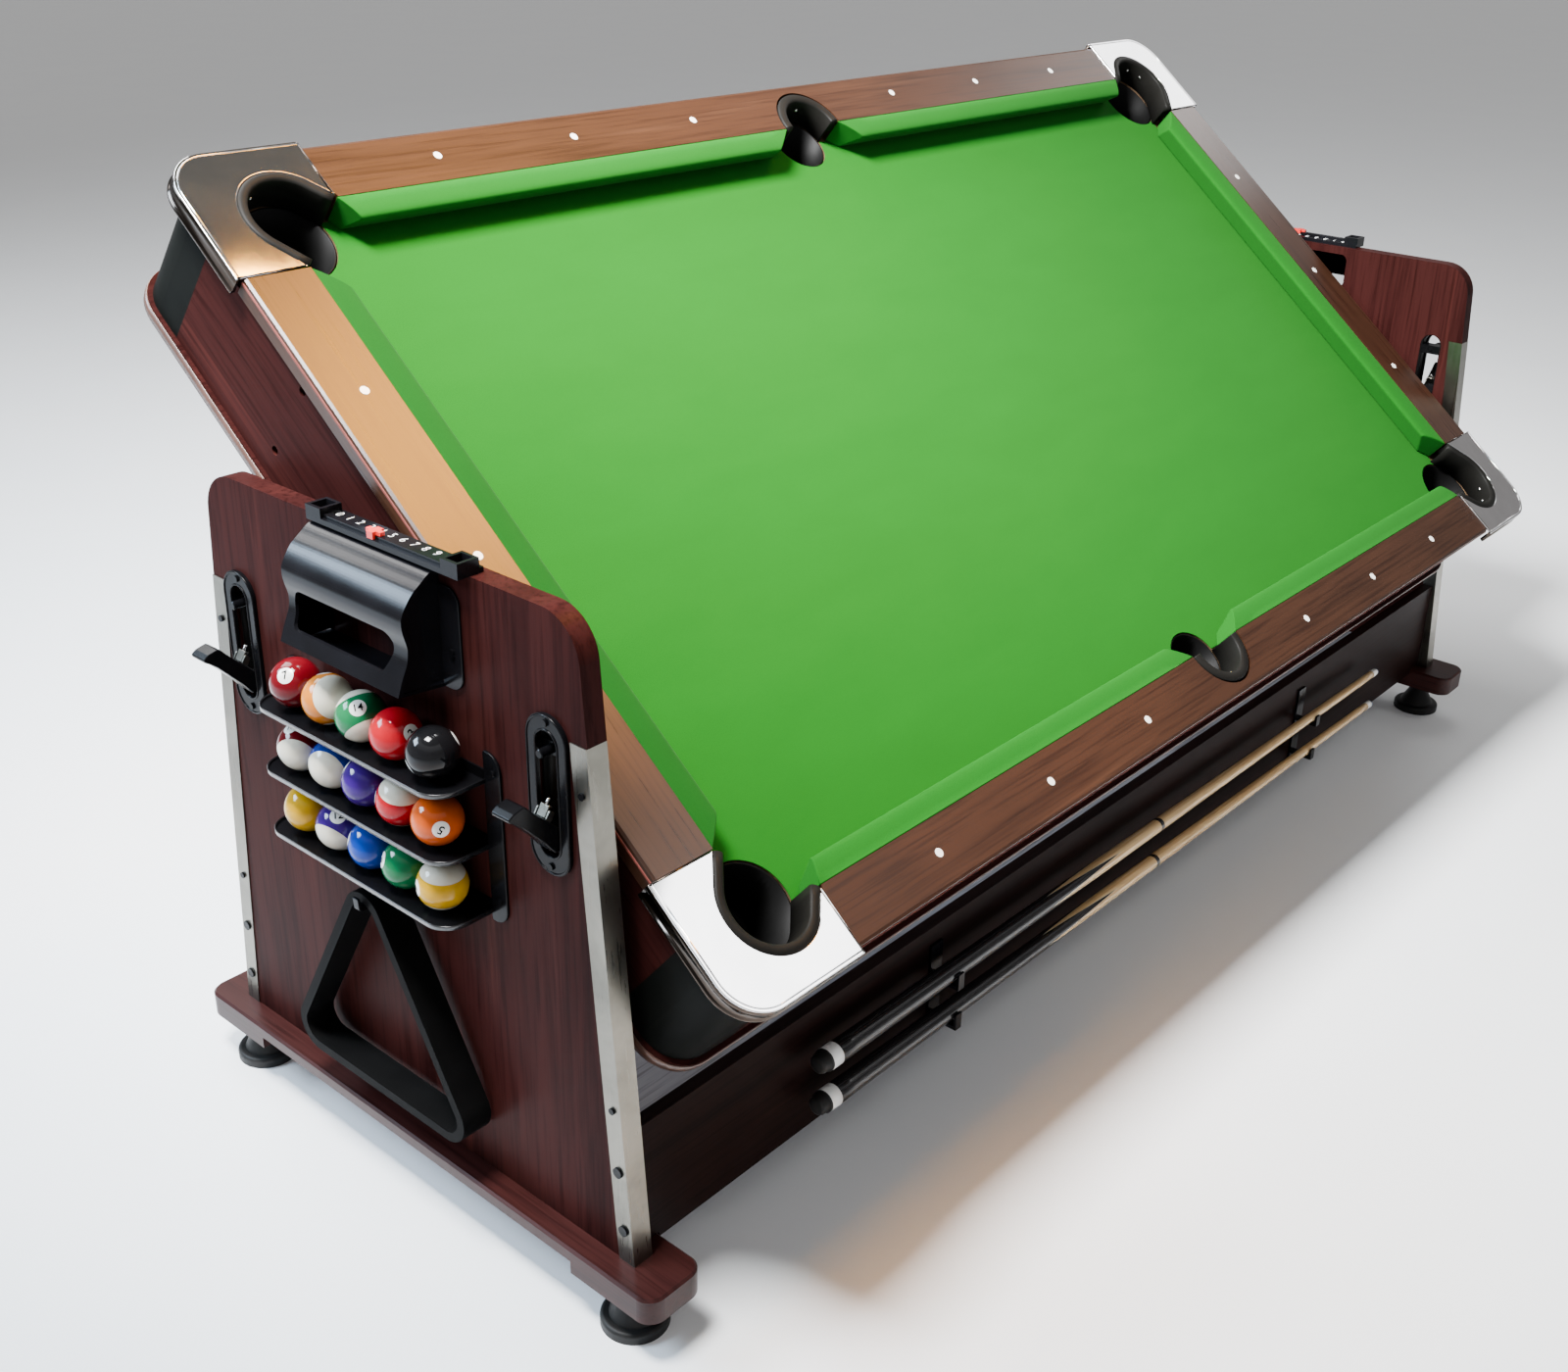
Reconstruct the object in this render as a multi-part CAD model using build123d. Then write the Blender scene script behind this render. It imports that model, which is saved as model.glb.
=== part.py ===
"""Flip-over games table: a pool table on one face and an air-hockey field on the other.

Millimetres, +Z up.  The origin is on the floor, midway between the end panels and midway
between the levelling feet.  X runs along the table.  The table turns about an X axis and is
modelled part-way through its turn.
"""
import os
from math import sqrt

from build123d import *

os.makedirs("parts", exist_ok=True)

# ---------------------------------------------------------------- driving dimensions
BALL_D = 57.15            # pool ball
PLAY_L = 1814.0           # cushion nose to cushion nose, along X
PLAY_W = 913.0            # cushion nose to cushion nose, across
TILT = 39.0               # table leans toward -Y by this angle, degrees
PIVOT_Z = 751.0           # height of the turning axis

# table body, measured from the turning axis in the table's own frame
RAIL_TOP = 85.5           # top face of the wooden rails
RAIL_UNDER = 63.5         # underside of the rail overhang
BED_TOP = 43.0            # top of the playing bed
BED_T = 18.0
APRON_T = 18.0
APRON_X = 1027.0          # outer face of the end aprons
APRON_Y = 560.0           # outer face of the long aprons
CORNER_LEG = 95.0         # length of each leg of the black corner pieces
CORNER_R = 55.0
FIELD_FACE = -92.0        # air-hockey surface, looking down at the stand
FIELD_T = 12.0
RIM_FACE = -110.0         # outer face of the air-hockey rim
RAIL_X = 1032.0           # outer edge of the end rails
RAIL_Y = 566.0            # outer edge of the long rails
RAIL_IN_X = 945.0         # wood to cloth line, end rails
RAIL_IN_Y = 488.0         # wood to cloth line, long rails
SEAM_X = 856.0            # long rail to corner cap seam
SEAM_Y = 398.0            # end rail to corner cap seam
CAP_X = 1043.0            # outer faces of the corner caps
CAP_Y = 576.0
CAP_TOP = 87.0
CORNER_POCKET = (918.0, 466.0)
CORNER_OUT_R = 70.0
CORNER_IN_R = 54.0
SIDE_POCKET = (0.0, 490.0)
SIDE_OUT_R = 61.0
SIDE_IN_R = 43.0
CUP_WALL = 3.0
CUP_FLOOR = -45.0
SIGHT_R = 5.6
SIGHT_INSET = 70.0        # sight centre line outside the cushion nose

# stand
PANEL_IN = 1050.0         # inner face of the end panels
PANEL_OUT = 1076.0        # outer face of the end panels
PANEL_FOOT = 92.0         # bottom of the end panels
PANEL_HEAD = 851.0        # top of the end panels
PANEL_HALF_FOOT = 371.0   # half width at the bottom
PANEL_HALF_HEAD = 310.0   # half width at the top
POST_TOP = 718.0
POST_W = 24.0
BEAM_X = (1021.0, 1107.0)
BEAM_HALF = 425.0
BEAM_UNDER = 58.0
BOARD_Y = 352.0           # outer face of the stretcher boards
BOARD_Z = (86.0, 258.0)
BOARD_T = 18.0
FOOT_AT = (1066.0, 358.0)
FOOT_R = 40.0
GOAL_HALF = 105.0
GOAL_Z = (778.0, 838.0)
BOX_Y = (-90.0, 113.0)    # sides of the +X catch box
LATCH_Y = 265.0
LATCH_PIN_Z = 698.0       # height of the latch bolts
LEVER_AT = (1074.0, 595.0)    # hinge of the latch levers
RACK_Y = -2.0             # centre of the ball rack
BALL_PITCH = 60.0
BALL_ROWS = (656.0, 576.5, 497.0)
BALL_X = -1110.0
TRIANGLE_AT = (15.0, 253.7)   # Y and Z of the rack triangle's centre
CUE_LINES = ((202.0, 186.0), (140.0, 122.0))   # butt and tip heights of the two cues
CUE_Y = -379.0
CUE_X = (-782.0, 768.0)
BRACKET_X = 515.0
SCORER_Y = 33.0           # centre of the +X scorer
SCORER_L = 250.0

PLAY_SIGNS = [(-1, -1), (1, -1), (1, 1), (-1, 1)]
parts = {}


# ---------------------------------------------------------------- helpers
def block(x0, x1, y0, y1, z0, z1):
    """Box between two corners, given in any order."""
    size = (abs(x1 - x0), abs(y1 - y0), abs(z1 - z0))
    return Pos((x0 + x1) / 2, (y0 + y1) / 2, (z0 + z1) / 2) * Box(*size)


def rod(x, y, z0, z1, r):
    """Upright cylinder between two heights."""
    return Pos(x, y, (z0 + z1) / 2) * Cylinder(r, abs(z1 - z0))


def rod_x(x0, x1, y, z, r):
    """Cylinder lying along X."""
    return Pos((x0 + x1) / 2, y, z) * Rot(0, 90, 0) * Cylinder(r, abs(x1 - x0))


def rod_y(y0, y1, x, z, r):
    """Cylinder lying along Y."""
    return Pos(x, (y0 + y1) / 2, z) * Rot(90, 0, 0) * Cylinder(r, abs(y1 - y0))


def prism_x(points, x0, x1):
    """Polygon in the YZ plane swept along X."""
    face = make_face(Plane.YZ * Polyline(*points, close=True))
    return Pos(min(x0, x1), 0, 0) * extrude(face, amount=abs(x1 - x0), dir=(1, 0, 0))


def prism_y(points, y0, y1):
    """Polygon in the XZ plane swept along +Y."""
    face = make_face(Plane.XZ * Polyline(*points, close=True))
    return Pos(0, min(y0, y1), 0) * extrude(face, amount=abs(y1 - y0), dir=(0, 1, 0))


def prism_z(points, z0, z1):
    """Polygon in the XY plane swept along +Z."""
    return Pos(0, 0, z0) * extrude(make_face(Polyline(*points, close=True)), amount=z1 - z0, dir=(0, 0, 1))


def plate(length, width, z0, z1, r):
    """Flat plate centred on the Z axis with round corners."""
    body = Pos(0, 0, (z0 + z1) / 2) * Box(length, width, z1 - z0)
    return fillet(body.edges().filter_by(Axis.Z), r)


def group(solids):
    """Keep several separate solids together as one node."""
    flat = []
    for item in solids:
        flat.extend(item.solids())
    return Compound(children=flat)


def on_table(shape):
    """Take a piece from the table's own frame to where the tilted table holds it."""
    return Pos(0, 0, PIVOT_Z) * Rot(TILT, 0, 0) * shape


def save(name, shape):
    parts[name] = shape
    export_step(shape, f"parts/{name}.step")


def other_end(part):
    """The same part turned half round to the -X end."""
    return Rot(0, 0, 180) * part


def mirror_x(shape):
    return mirror(shape, about=Plane.YZ)


def mirror_y(shape):
    return mirror(shape, about=Plane.XZ)


# ---------------------------------------------------------------- table body
def corner_columns(r, z0, z1):
    """A cylinder at each corner pocket."""
    px, py = CORNER_POCKET
    return [rod(sx * px, sy * py, z0, z1, r) for sx, sy in PLAY_SIGNS]


def side_columns(r, z0, z1):
    """A cylinder at each side pocket."""
    px, py = SIDE_POCKET
    return [rod(px, s * py, z0, z1, r) for s in (-1, 1)]


def cut_all(shape, tools):
    for tool in tools:
        shape = shape - tool
    return shape


def play_bed():
    top = BED_TOP
    bed = block(-APRON_X + APRON_T, APRON_X - APRON_T, -APRON_Y + APRON_T, APRON_Y - APRON_T,
                top - BED_T, top)
    bed = cut_all(bed, corner_columns(CORNER_IN_R + CUP_WALL + 0.5, 0, 60))
    return cut_all(bed, side_columns(SIDE_IN_R + CUP_WALL + 0.5, 0, 60))


def bed_cloth():
    """Thin sheet over the bed, ending under the cushion noses."""
    half_x = PLAY_L / 2 + 12
    half_y = PLAY_W / 2 + 12
    cloth = block(-half_x, half_x, -half_y, half_y, BED_TOP + 0.3, BED_TOP + 1.3)
    cloth = cut_all(cloth, corner_columns(CORNER_IN_R + CUP_WALL + 1.5, 0, 60))
    return cut_all(cloth, side_columns(SIDE_IN_R + CUP_WALL + 1.5, 0, 60))


def rail_profile(inner, outer):
    """Section of a wooden rail: seat on the bed inside, overhang outside, soft top edges."""
    wall = outer - (RAIL_X - APRON_X + APRON_T)
    return [(inner, BED_TOP), (wall, BED_TOP), (wall, RAIL_UNDER), (outer, RAIL_UNDER),
            (outer, RAIL_TOP - 5), (outer - 1.5, RAIL_TOP - 1.5), (outer - 5, RAIL_TOP),
            (inner, RAIL_TOP)]


def sight_spots():
    """Centres of the eighteen inlaid sights."""
    spots = []
    for k in (1, 2, 3, 5, 6, 7):
        x = -PLAY_L / 2 + k * PLAY_L / 8
        for s in (-1, 1):
            spots.append((x, s * (PLAY_W / 2 + SIGHT_INSET)))
    for k in (1, 2, 3):
        y = -PLAY_W / 2 + k * PLAY_W / 4
        for s in (-1, 1):
            spots.append((s * (PLAY_L / 2 + SIGHT_INSET + 4), y))
    return spots


def seat_cuts():
    """Pocket and sight recesses taken out of the wooden rails."""
    tools = corner_columns(CORNER_OUT_R + 0.3, 30, 95)
    tools += side_columns(SIDE_OUT_R + 0.3, 30, 95)
    tools += [rod(x, y, RAIL_TOP - 1.2, RAIL_TOP + 5, SIGHT_R) for x, y in sight_spots()]
    return tools


def long_rail():
    """Rail on the +Y side, in one length with a bite for the side pocket."""
    profile = [(y, z) for y, z in rail_profile(RAIL_IN_Y, RAIL_Y)]
    profile[1] = (APRON_Y - APRON_T, BED_TOP)
    profile[2] = (APRON_Y - APRON_T, RAIL_UNDER)
    rail = prism_x(profile, -SEAM_X, SEAM_X)
    return cut_all(rail, seat_cuts())


def end_rail():
    """Rail on the +X side."""
    profile = [(x, z) for x, z in rail_profile(RAIL_IN_X, RAIL_X)]
    profile[1] = (APRON_X - APRON_T, BED_TOP)
    profile[2] = (APRON_X - APRON_T, RAIL_UNDER)
    rail = prism_y(profile, -SEAM_Y, SEAM_Y)
    return cut_all(rail, seat_cuts())


def cushion_section(nose, back):
    """Cushion section with an undercut nose."""
    return [(back, BED_TOP + 2), (back, RAIL_TOP), (nose + 14, RAIL_TOP - 1), (nose + 3, RAIL_TOP - 3.5),
            (nose, RAIL_TOP - 7), (nose + 1, RAIL_TOP - 11), (nose + 17, BED_TOP + 2)]


def long_cushion():
    """Cushion on the +X half of the +Y side, mitred toward both pockets."""
    nose = PLAY_W / 2
    body = prism_x(cushion_section(nose, RAIL_IN_Y - 0.2), SIDE_OUT_R - 4, SEAM_X)
    mitre = RAIL_IN_Y - nose
    side = [(0, nose - 5), (SIDE_OUT_R - 4 + mitre * 1.15, nose - 5), (SIDE_OUT_R - 4, RAIL_IN_Y),
            (0, RAIL_IN_Y)]
    end = [(SEAM_X + 5, nose - 5), (SEAM_X - mitre * 0.85, nose - 5), (SEAM_X, RAIL_IN_Y), (SEAM_X + 5, RAIL_IN_Y)]
    for outline in (side, end):
        body = body - prism_z(outline, 30, 100)
    body = cut_all(body, corner_columns(CORNER_OUT_R + 0.4, 30, 95))
    return cut_all(body, side_columns(SIDE_OUT_R + 0.4, 30, 95))


def end_cushion():
    """Cushion on the +X end, mitred toward the corner pockets."""
    nose = PLAY_L / 2
    body = prism_y(cushion_section(nose, RAIL_IN_X - 0.2), -SEAM_Y, SEAM_Y)
    mitre = (RAIL_IN_X - nose) * 0.75
    for s in (-1, 1):
        outline = [(nose - 5, s * (SEAM_Y + 5)), (nose - 5, s * (SEAM_Y - mitre)),
                   (RAIL_IN_X, s * SEAM_Y), (RAIL_IN_X, s * (SEAM_Y + 5))]
        body = body - prism_z(outline, 30, 100)
    return cut_all(body, corner_columns(CORNER_OUT_R + 0.4, 30, 95))


def corner_cap():
    """Metal cap over the +X +Y corner, open toward the playing area."""
    cap = block(SEAM_X, CAP_X, SEAM_Y, CAP_Y, RAIL_UNDER, CAP_TOP)
    corner = cap.edges().filter_by(Axis.Z).sort_by(lambda e: e.center().X + e.center().Y)[-1]
    cap = fillet(corner, 58)
    top_rim = cap.faces().sort_by(Axis.Z)[-1].edges()
    outer = [e for e in top_rim if e.center().X + e.center().Y > SEAM_X + CAP_Y + 10
             and not (abs(e.center().X - SEAM_X) < 1 or abs(e.center().Y - SEAM_Y) < 1)]
    cap = fillet(outer, 5)
    cap = cap - block(SEAM_X - 1, RAIL_IN_X, SEAM_Y - 1, RAIL_IN_Y, 0, 100)
    px, py = CORNER_POCKET
    return cap - rod(px, py, 0, 100, CORNER_OUT_R + 0.3)


def corner_liner():
    """Moulded cup of the +X +Y corner pocket, with its raised U-shaped lip."""
    px, py = CORNER_POCKET
    lip = rod(px, py, BED_TOP, RAIL_TOP, CORNER_OUT_R)
    lip = lip - block(0, RAIL_IN_X, 0, RAIL_IN_Y, BED_TOP + 1.6, 100)
    lip = lip - rod(px, py, 0, 100, CORNER_OUT_R + 1) .intersect(block(0, RAIL_IN_X, 0, RAIL_IN_Y, 0, BED_TOP + 1.6))
    cup = rod(px, py, CUP_FLOOR, BED_TOP, CORNER_IN_R + CUP_WALL)
    return (lip + cup) - rod(px, py, CUP_FLOOR + CUP_WALL, 100, CORNER_IN_R)


def side_liner():
    """Moulded cup of the +Y side pocket."""
    px, py = SIDE_POCKET
    lip = rod(px, py, BED_TOP, RAIL_TOP, SIDE_OUT_R)
    lip = lip - block(-100, 100, 0, RAIL_IN_Y, 0, 100)
    lip = lip - block(-100, 100, APRON_Y - APRON_T - 0.3, APRON_Y + 20, 0, RAIL_UNDER)
    cup = rod(px, py, CUP_FLOOR, BED_TOP, SIDE_IN_R + CUP_WALL)
    return (lip + cup) - rod(px, py, CUP_FLOOR + CUP_WALL, 100, SIDE_IN_R)


def pocket_liners():
    corner = corner_liner()
    side = side_liner()
    cups = [corner, mirror_x(corner), mirror_y(corner), mirror_y(mirror_x(corner)), side, mirror_y(side)]
    return group(cups)


def strike_holes():
    """Holes in the end aprons that the latch bolts drop into, either face up."""
    drop = PIVOT_Z - LATCH_PIN_Z
    holes = []
    for y in (-LATCH_Y, LATCH_Y):
        for z in (-drop, drop):
            holes.append(rod_x(APRON_X - 40, APRON_X + 10, y, z, 5.6))
    return holes


def end_apron():
    """Apron on the +X end with the goal slot and the strike holes."""
    half = APRON_Y - CORNER_LEG
    apron = block(APRON_X - APRON_T, APRON_X, -half, half, FIELD_FACE, RAIL_UNDER)
    slot = block(APRON_X - 60, APRON_X + 10, -GOAL_HALF, GOAL_HALF, FIELD_FACE - 1, FIELD_FACE + 56)
    return cut_all(apron, [slot] + strike_holes())


def long_apron():
    """Apron on the +Y side."""
    half = APRON_X - CORNER_LEG
    return block(-half, half, APRON_Y - APRON_T, APRON_Y, FIELD_FACE, RAIL_UNDER)


def apron_corners():
    """Four round black corner pieces joining the aprons."""
    outer = plate(2 * APRON_X, 2 * APRON_Y, FIELD_FACE, RAIL_UNDER, CORNER_R)
    outer = outer - block(-APRON_X + APRON_T, APRON_X - APRON_T, -APRON_Y + APRON_T, APRON_Y - APRON_T, -200, 200)
    pieces = []
    for sx, sy in PLAY_SIGNS:
        near = block(sx * (APRON_X - CORNER_LEG), sx * (APRON_X + 5), sy * (APRON_Y - CORNER_LEG),
                     sy * (APRON_Y + 5), -200, 200)
        pieces.append(outer & near)
    return group(pieces)


def hockey_field():
    """Reverse playing board with a goal slot at each end."""
    half_x = APRON_X - APRON_T
    half_y = APRON_Y - APRON_T
    field = block(-half_x, half_x, -half_y, half_y, FIELD_FACE, FIELD_FACE + FIELD_T)
    for s in (-1, 1):
        field = field - block(s * (half_x - 48), s * (half_x + 5), -GOAL_HALF, GOAL_HALF, -200, 0)
    return field


def hockey_rim():
    """Rim round the reverse board, undercut over each goal slot."""
    rim = plate(2 * RAIL_X, 2 * RAIL_Y, RIM_FACE, FIELD_FACE, CORNER_R + 4)
    rim = rim - block(-955, 955, -485, 485, -200, 0)
    for s in (-1, 1):
        rim = rim - block(s * 950, s * (APRON_X - APRON_T), -GOAL_HALF, GOAL_HALF, RIM_FACE + 8, 0)
    return rim


def cross_beams():
    """Beams between the two boards that keep the body stiff."""
    z0 = FIELD_FACE + FIELD_T
    z1 = BED_TOP - BED_T
    beams = []
    for x in (-680.0, -340.0, 0.0, 340.0, 680.0):
        half = APRON_Y - APRON_T
        if x == 0.0:
            half = SIDE_POCKET[1] - SIDE_IN_R - CUP_WALL - 12
        beams.append(block(x - 9, x + 9, -half, half, z0, z1))
    return group(beams)


def pivot_shafts():
    """Flanged stub axle on each end apron."""
    shaft = rod_x(APRON_X, APRON_X + 6, 0, 0, 34) + rod_x(APRON_X, PANEL_OUT - 5, 0, 0, 12)
    shaft = shaft - block(APRON_X - 1, APRON_X + 20, -60, 60, -60, FIELD_FACE + 57)
    return group([shaft, mirror_x(shaft)])


def sights():
    return group([rod(x, y, RAIL_TOP - 1.2, RAIL_TOP + 0.3, SIGHT_R) for x, y in sight_spots()])


def build_table():
    save("play_bed", on_table(play_bed()))
    save("bed_cloth", on_table(bed_cloth()))
    rail = long_rail()
    save("long_rails", on_table(group([rail, mirror_y(rail)])))
    rail = end_rail()
    save("end_rails", on_table(group([rail, mirror_x(rail)])))
    cushion = long_cushion()
    ends = end_cushion()
    halves = [cushion, mirror_x(cushion), mirror_y(cushion), mirror_y(mirror_x(cushion))]
    save("cushions", on_table(group(halves + [ends, mirror_x(ends)])))
    cap = corner_cap()
    caps = [cap, mirror_x(cap), mirror_y(cap), mirror_y(mirror_x(cap))]
    save("corner_caps", on_table(group(caps)))
    save("pocket_liners", on_table(pocket_liners()))
    save("sights", on_table(sights()))
    apron = end_apron()
    save("end_aprons", on_table(group([apron, mirror_x(apron)])))
    apron = long_apron()
    save("long_aprons", on_table(group([apron, mirror_y(apron)])))
    save("apron_corners", on_table(apron_corners()))
    save("hockey_field", on_table(hockey_field()))
    save("hockey_rim", on_table(hockey_rim()))
    save("cross_beams", on_table(cross_beams()))
    save("pivot_shafts", on_table(pivot_shafts()))


# ---------------------------------------------------------------- stand
def panel_half(z):
    """Half width of the end panel at a height."""
    t = (z - PANEL_FOOT) / (PANEL_HEAD - PANEL_FOOT)
    return PANEL_HALF_FOOT + t * (PANEL_HALF_HEAD - PANEL_HALF_FOOT)


def panel_blank():
    """Tapered panel on the +X side with round top corners."""
    foot, head = PANEL_FOOT, PANEL_HEAD
    outline = [(-PANEL_HALF_FOOT, foot), (PANEL_HALF_FOOT, foot), (PANEL_HALF_HEAD, head), (-PANEL_HALF_HEAD, head)]
    panel = prism_x(outline, PANEL_IN, PANEL_OUT)
    tops = [e for e in panel.edges().filter_by(Axis.X) if e.center().Z > head - 1]
    return fillet(tops, 52)


def post_zone(side, inset):
    """The strip of the panel edge that a post takes up."""
    low, high = PANEL_FOOT, POST_TOP
    edge = [(side * (panel_half(low) + 20), low - 1), (side * (panel_half(low) - inset), low - 1),
            (side * (panel_half(high) - inset), high), (side * (panel_half(high) + 20), high)]
    return prism_x(edge, PANEL_IN - 20, PANEL_OUT + 20)


def slot_cut(s, half, low, high):
    """Upright round-ended slot through the +X panel and its latch plate."""
    y = s * LATCH_Y
    cut = block(PANEL_IN - 5, PANEL_OUT + 15, y - half, y + half, low + half, high - half)
    for z in (low + half, high - half):
        cut = cut + rod_x(PANEL_IN - 5, PANEL_OUT + 15, y, z, half)
    return cut


def end_panel():
    """Panel on the +X side: posts, goal window, latch slots and pivot hole cut out."""
    panel = panel_blank()
    for s in (-1, 1):
        panel = panel - post_zone(s, POST_W)
        panel = panel - slot_cut(s, 19, 567, 724)
    window = block(PANEL_IN - 5, PANEL_OUT + 5, BOX_Y[0] + 8, BOX_Y[1] - 8, *GOAL_Z)
    window = fillet(window.edges().filter_by(Axis.X), 12)
    return panel - window - rod_x(PANEL_IN - 5, PANEL_OUT - 4, 0, PIVOT_Z, 18)


def end_posts():
    """Hollow metal edge posts, two on each panel."""
    posts = []
    for s in (-1, 1):
        solid = prism_x([(-PANEL_HALF_FOOT, PANEL_FOOT), (PANEL_HALF_FOOT, PANEL_FOOT),
                         (panel_half(POST_TOP), POST_TOP), (-panel_half(POST_TOP), POST_TOP)],
                        PANEL_IN, PANEL_OUT + 1.5)
        post = solid & post_zone(s, POST_W)
        core = prism_x([(s * (PANEL_HALF_FOOT - 3), PANEL_FOOT - 1), (s * (PANEL_HALF_FOOT - 21), PANEL_FOOT - 1),
                        (s * (panel_half(POST_TOP) - 21), POST_TOP + 1), (s * (panel_half(POST_TOP) - 3), POST_TOP + 1)],
                       PANEL_IN + 2, PANEL_OUT - 2)
        web = prism_x([(s * (PANEL_HALF_FOOT - 13), PANEL_FOOT - 2), (s * (PANEL_HALF_FOOT - 11), PANEL_FOOT - 2),
                       (s * (panel_half(POST_TOP) - 11), POST_TOP + 2), (s * (panel_half(POST_TOP) - 13), POST_TOP + 2)],
                      PANEL_IN + 2, PANEL_OUT - 2)
        post = post - (core - web)
        posts += [post, mirror_x(post)]
    return group(posts)


def base_beams():
    """Foot beam under each panel, thicker at both ends."""
    x0, x1 = BEAM_X
    beam = block(x0, x1, -BEAM_HALF, BEAM_HALF, BEAM_UNDER, PANEL_FOOT)
    beam = fillet(beam.edges().filter_by(Axis.Z), 22)
    beam = chamfer(beam.faces().sort_by(Axis.Z)[-1].edges(), 3)
    beam = beam - block(x0 - 1, x1 + 1, -298, 298, BEAM_UNDER - 1, BEAM_UNDER + 17)
    for s in (-1, 1):
        beam = beam - rod(FOOT_AT[0], s * FOOT_AT[1], 0, BEAM_UNDER + 22, 6.05)
    return group([beam, mirror_x(beam)])


def stretcher_board(side):
    face = side * BOARD_Y
    back = side * (BOARD_Y - BOARD_T)
    low, high = BOARD_Z
    foot = low + 6.0
    board = block(-PANEL_IN, PANEL_IN, face, back, low, high)
    for s in (-1, 1):
        board = board - block(s * (BEAM_X[0] - 1), s * PANEL_IN, face, back, low - 1, foot + 0.5)
    return board


def stretcher_shelf():
    inner = BOARD_Y - BOARD_T
    return block(-PANEL_IN, PANEL_IN, -inner, inner, 104, 120)


def goal_box():
    """Moulded catch box outside the +X panel: rounded head, waist, flared chute and a window."""
    x = PANEL_OUT
    y0, y1 = BOX_Y
    outer = [(0, 849), (14, 847), (26, 839), (38, 830), (47, 819), (52.5, 809), (53.5, 800), (52, 790), (49, 779),
             (48, 771), (50, 758), (57, 743), (64, 725), (62, 720), (0, 716)]
    inner = [(-1, 845), (13, 843), (24, 835), (35, 826), (43, 816), (48, 807), (49, 800), (47.5, 790), (44.5, 779),
             (43.5, 771), (45.5, 758), (52, 742), (58, 728), (-1, 722)]
    shell = prism_y([(x + a, z) for a, z in outer], y0, y1)
    shell = shell - prism_y([(x + a, z) for a, z in inner], y0 + 5, y1 - 5)
    shell = shell - block(x + 20, x + 80, y0 + 10, y1 - 23, 742, 784)
    flange = block(x, x + 3, y0 - 27, y1 + 27, 716, 832)
    flange = fillet(flange.edges().filter_by(Axis.X), 22)
    flange = flange - block(x - 1, x + 10, y0 + 5, y1 - 5, 700, 850)
    for y in (y0 - 13, y1 + 13):
        flange = flange - rod_x(x - 1, x + 10, y, 760, 2.5)
    return shell + flange


def scorer_bar():
    """Score counter on the +X panel's top edge: number strip, bead rail and two end sleeves."""
    x0 = PANEL_IN + 8
    x1 = PANEL_OUT + 15
    y0 = -SCORER_L / 2
    y1 = SCORER_L / 2
    z = PANEL_HEAD
    bar = block(x0, x1, y0, y1, z, z + 6)
    for y in (y0 + 13, y1 - 13):
        sleeve = block(x0 + 5, x1, y - 13, y + 13, z + 6, z + 17)
        bar = bar + (sleeve - block(x0 + 9, x1 - 4, y - 9, y + 9, z + 6, z + 20))
    return bar + block(x1 - 12, x1 - 4, y0 + 27, y1 - 27, z + 6, z + 10)


def scorer_slider():
    """Red cross-shaped marker that straddles the bead rail of the +X scorer."""
    x1 = PANEL_OUT + 15
    z = PANEL_HEAD + 6.4
    slider = block(x1 - 15.5, x1 - 0.5, -5, 5, z, z + 8)
    slider = slider + block(x1 - 11, x1 - 5, -12, 12, z + 4, z + 8)
    return slider - block(x1 - 12.4, x1 - 3.6, -8, 8, z - 1, z + 4)


def ball_rack():
    """Three-shelf ball rack outside the -X panel, with a hook below for the triangle."""
    back = -PANEL_OUT
    front = -1144.0
    low, high = 455.0, 690.0
    rack = block(back, back - 4, RACK_Y - 188, RACK_Y + 188, low, high)
    rack = fillet(rack.edges().filter_by(Axis.X), 24)
    half = 2.5 * BALL_PITCH + 8
    for z in BALL_ROWS:
        floor = z - BALL_D / 2 - 0.4
        lip = [(back - 3, floor), (front + 4, floor), (front + 4, floor + 16), (front, floor + 20),
               (front - 3, floor + 16), (front - 3, floor - 6), (front + 2, floor - 4), (back - 3, floor - 4)]
        tray = prism_y([(p[0], p[1]) for p in lip], RACK_Y - half, RACK_Y + half)
        for s in (-1, 1):
            y = RACK_Y + s * half
            tray = tray + block(back - 3, front - 3, y, y - s * 4, floor - 4, floor + 20)
        rack = rack + tray
    for y, z in rack_screws():
        rack = rack - rod_x(back + 1, back - 10, y, z, 2.5)
    mid = TRIANGLE_AT[0]
    hook = block(back - 3, back - 50, mid - 5, mid + 5, low - 45, low - 39)
    hook = hook + block(back - 50, back - 54, mid - 5, mid + 5, low - 45, low - 28)
    hook = hook + block(back, back - 4, mid - 14, mid + 14, low - 60, low + 5)
    return rack + hook


def rack_screws():
    return [(RACK_Y + s * 178, z) for s in (-1, 1) for z in (485, 640)]


def rack_triangle():
    """Ball triangle hanging point up under the ball rack."""
    cy, cz = TRIANGLE_AT
    side_in = BALL_D * (4 + sqrt(3)) + 2

    def tri(side, x0, x1, r):
        h = side * sqrt(3) / 2
        pts = [(cy - side / 2, cz - h / 3), (cy + side / 2, cz - h / 3), (cy, cz + 2 * h / 3)]
        body = prism_x(pts, x0, x1)
        return fillet(body.edges().filter_by(Axis.X), r)

    x0 = -PANEL_OUT - 46
    x1 = -PANEL_OUT - 6
    frame = tri(side_in + 34, x0, x1, 34)
    return frame - tri(side_in - 8, x0 - 5, x1 + 5, 22)


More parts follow.
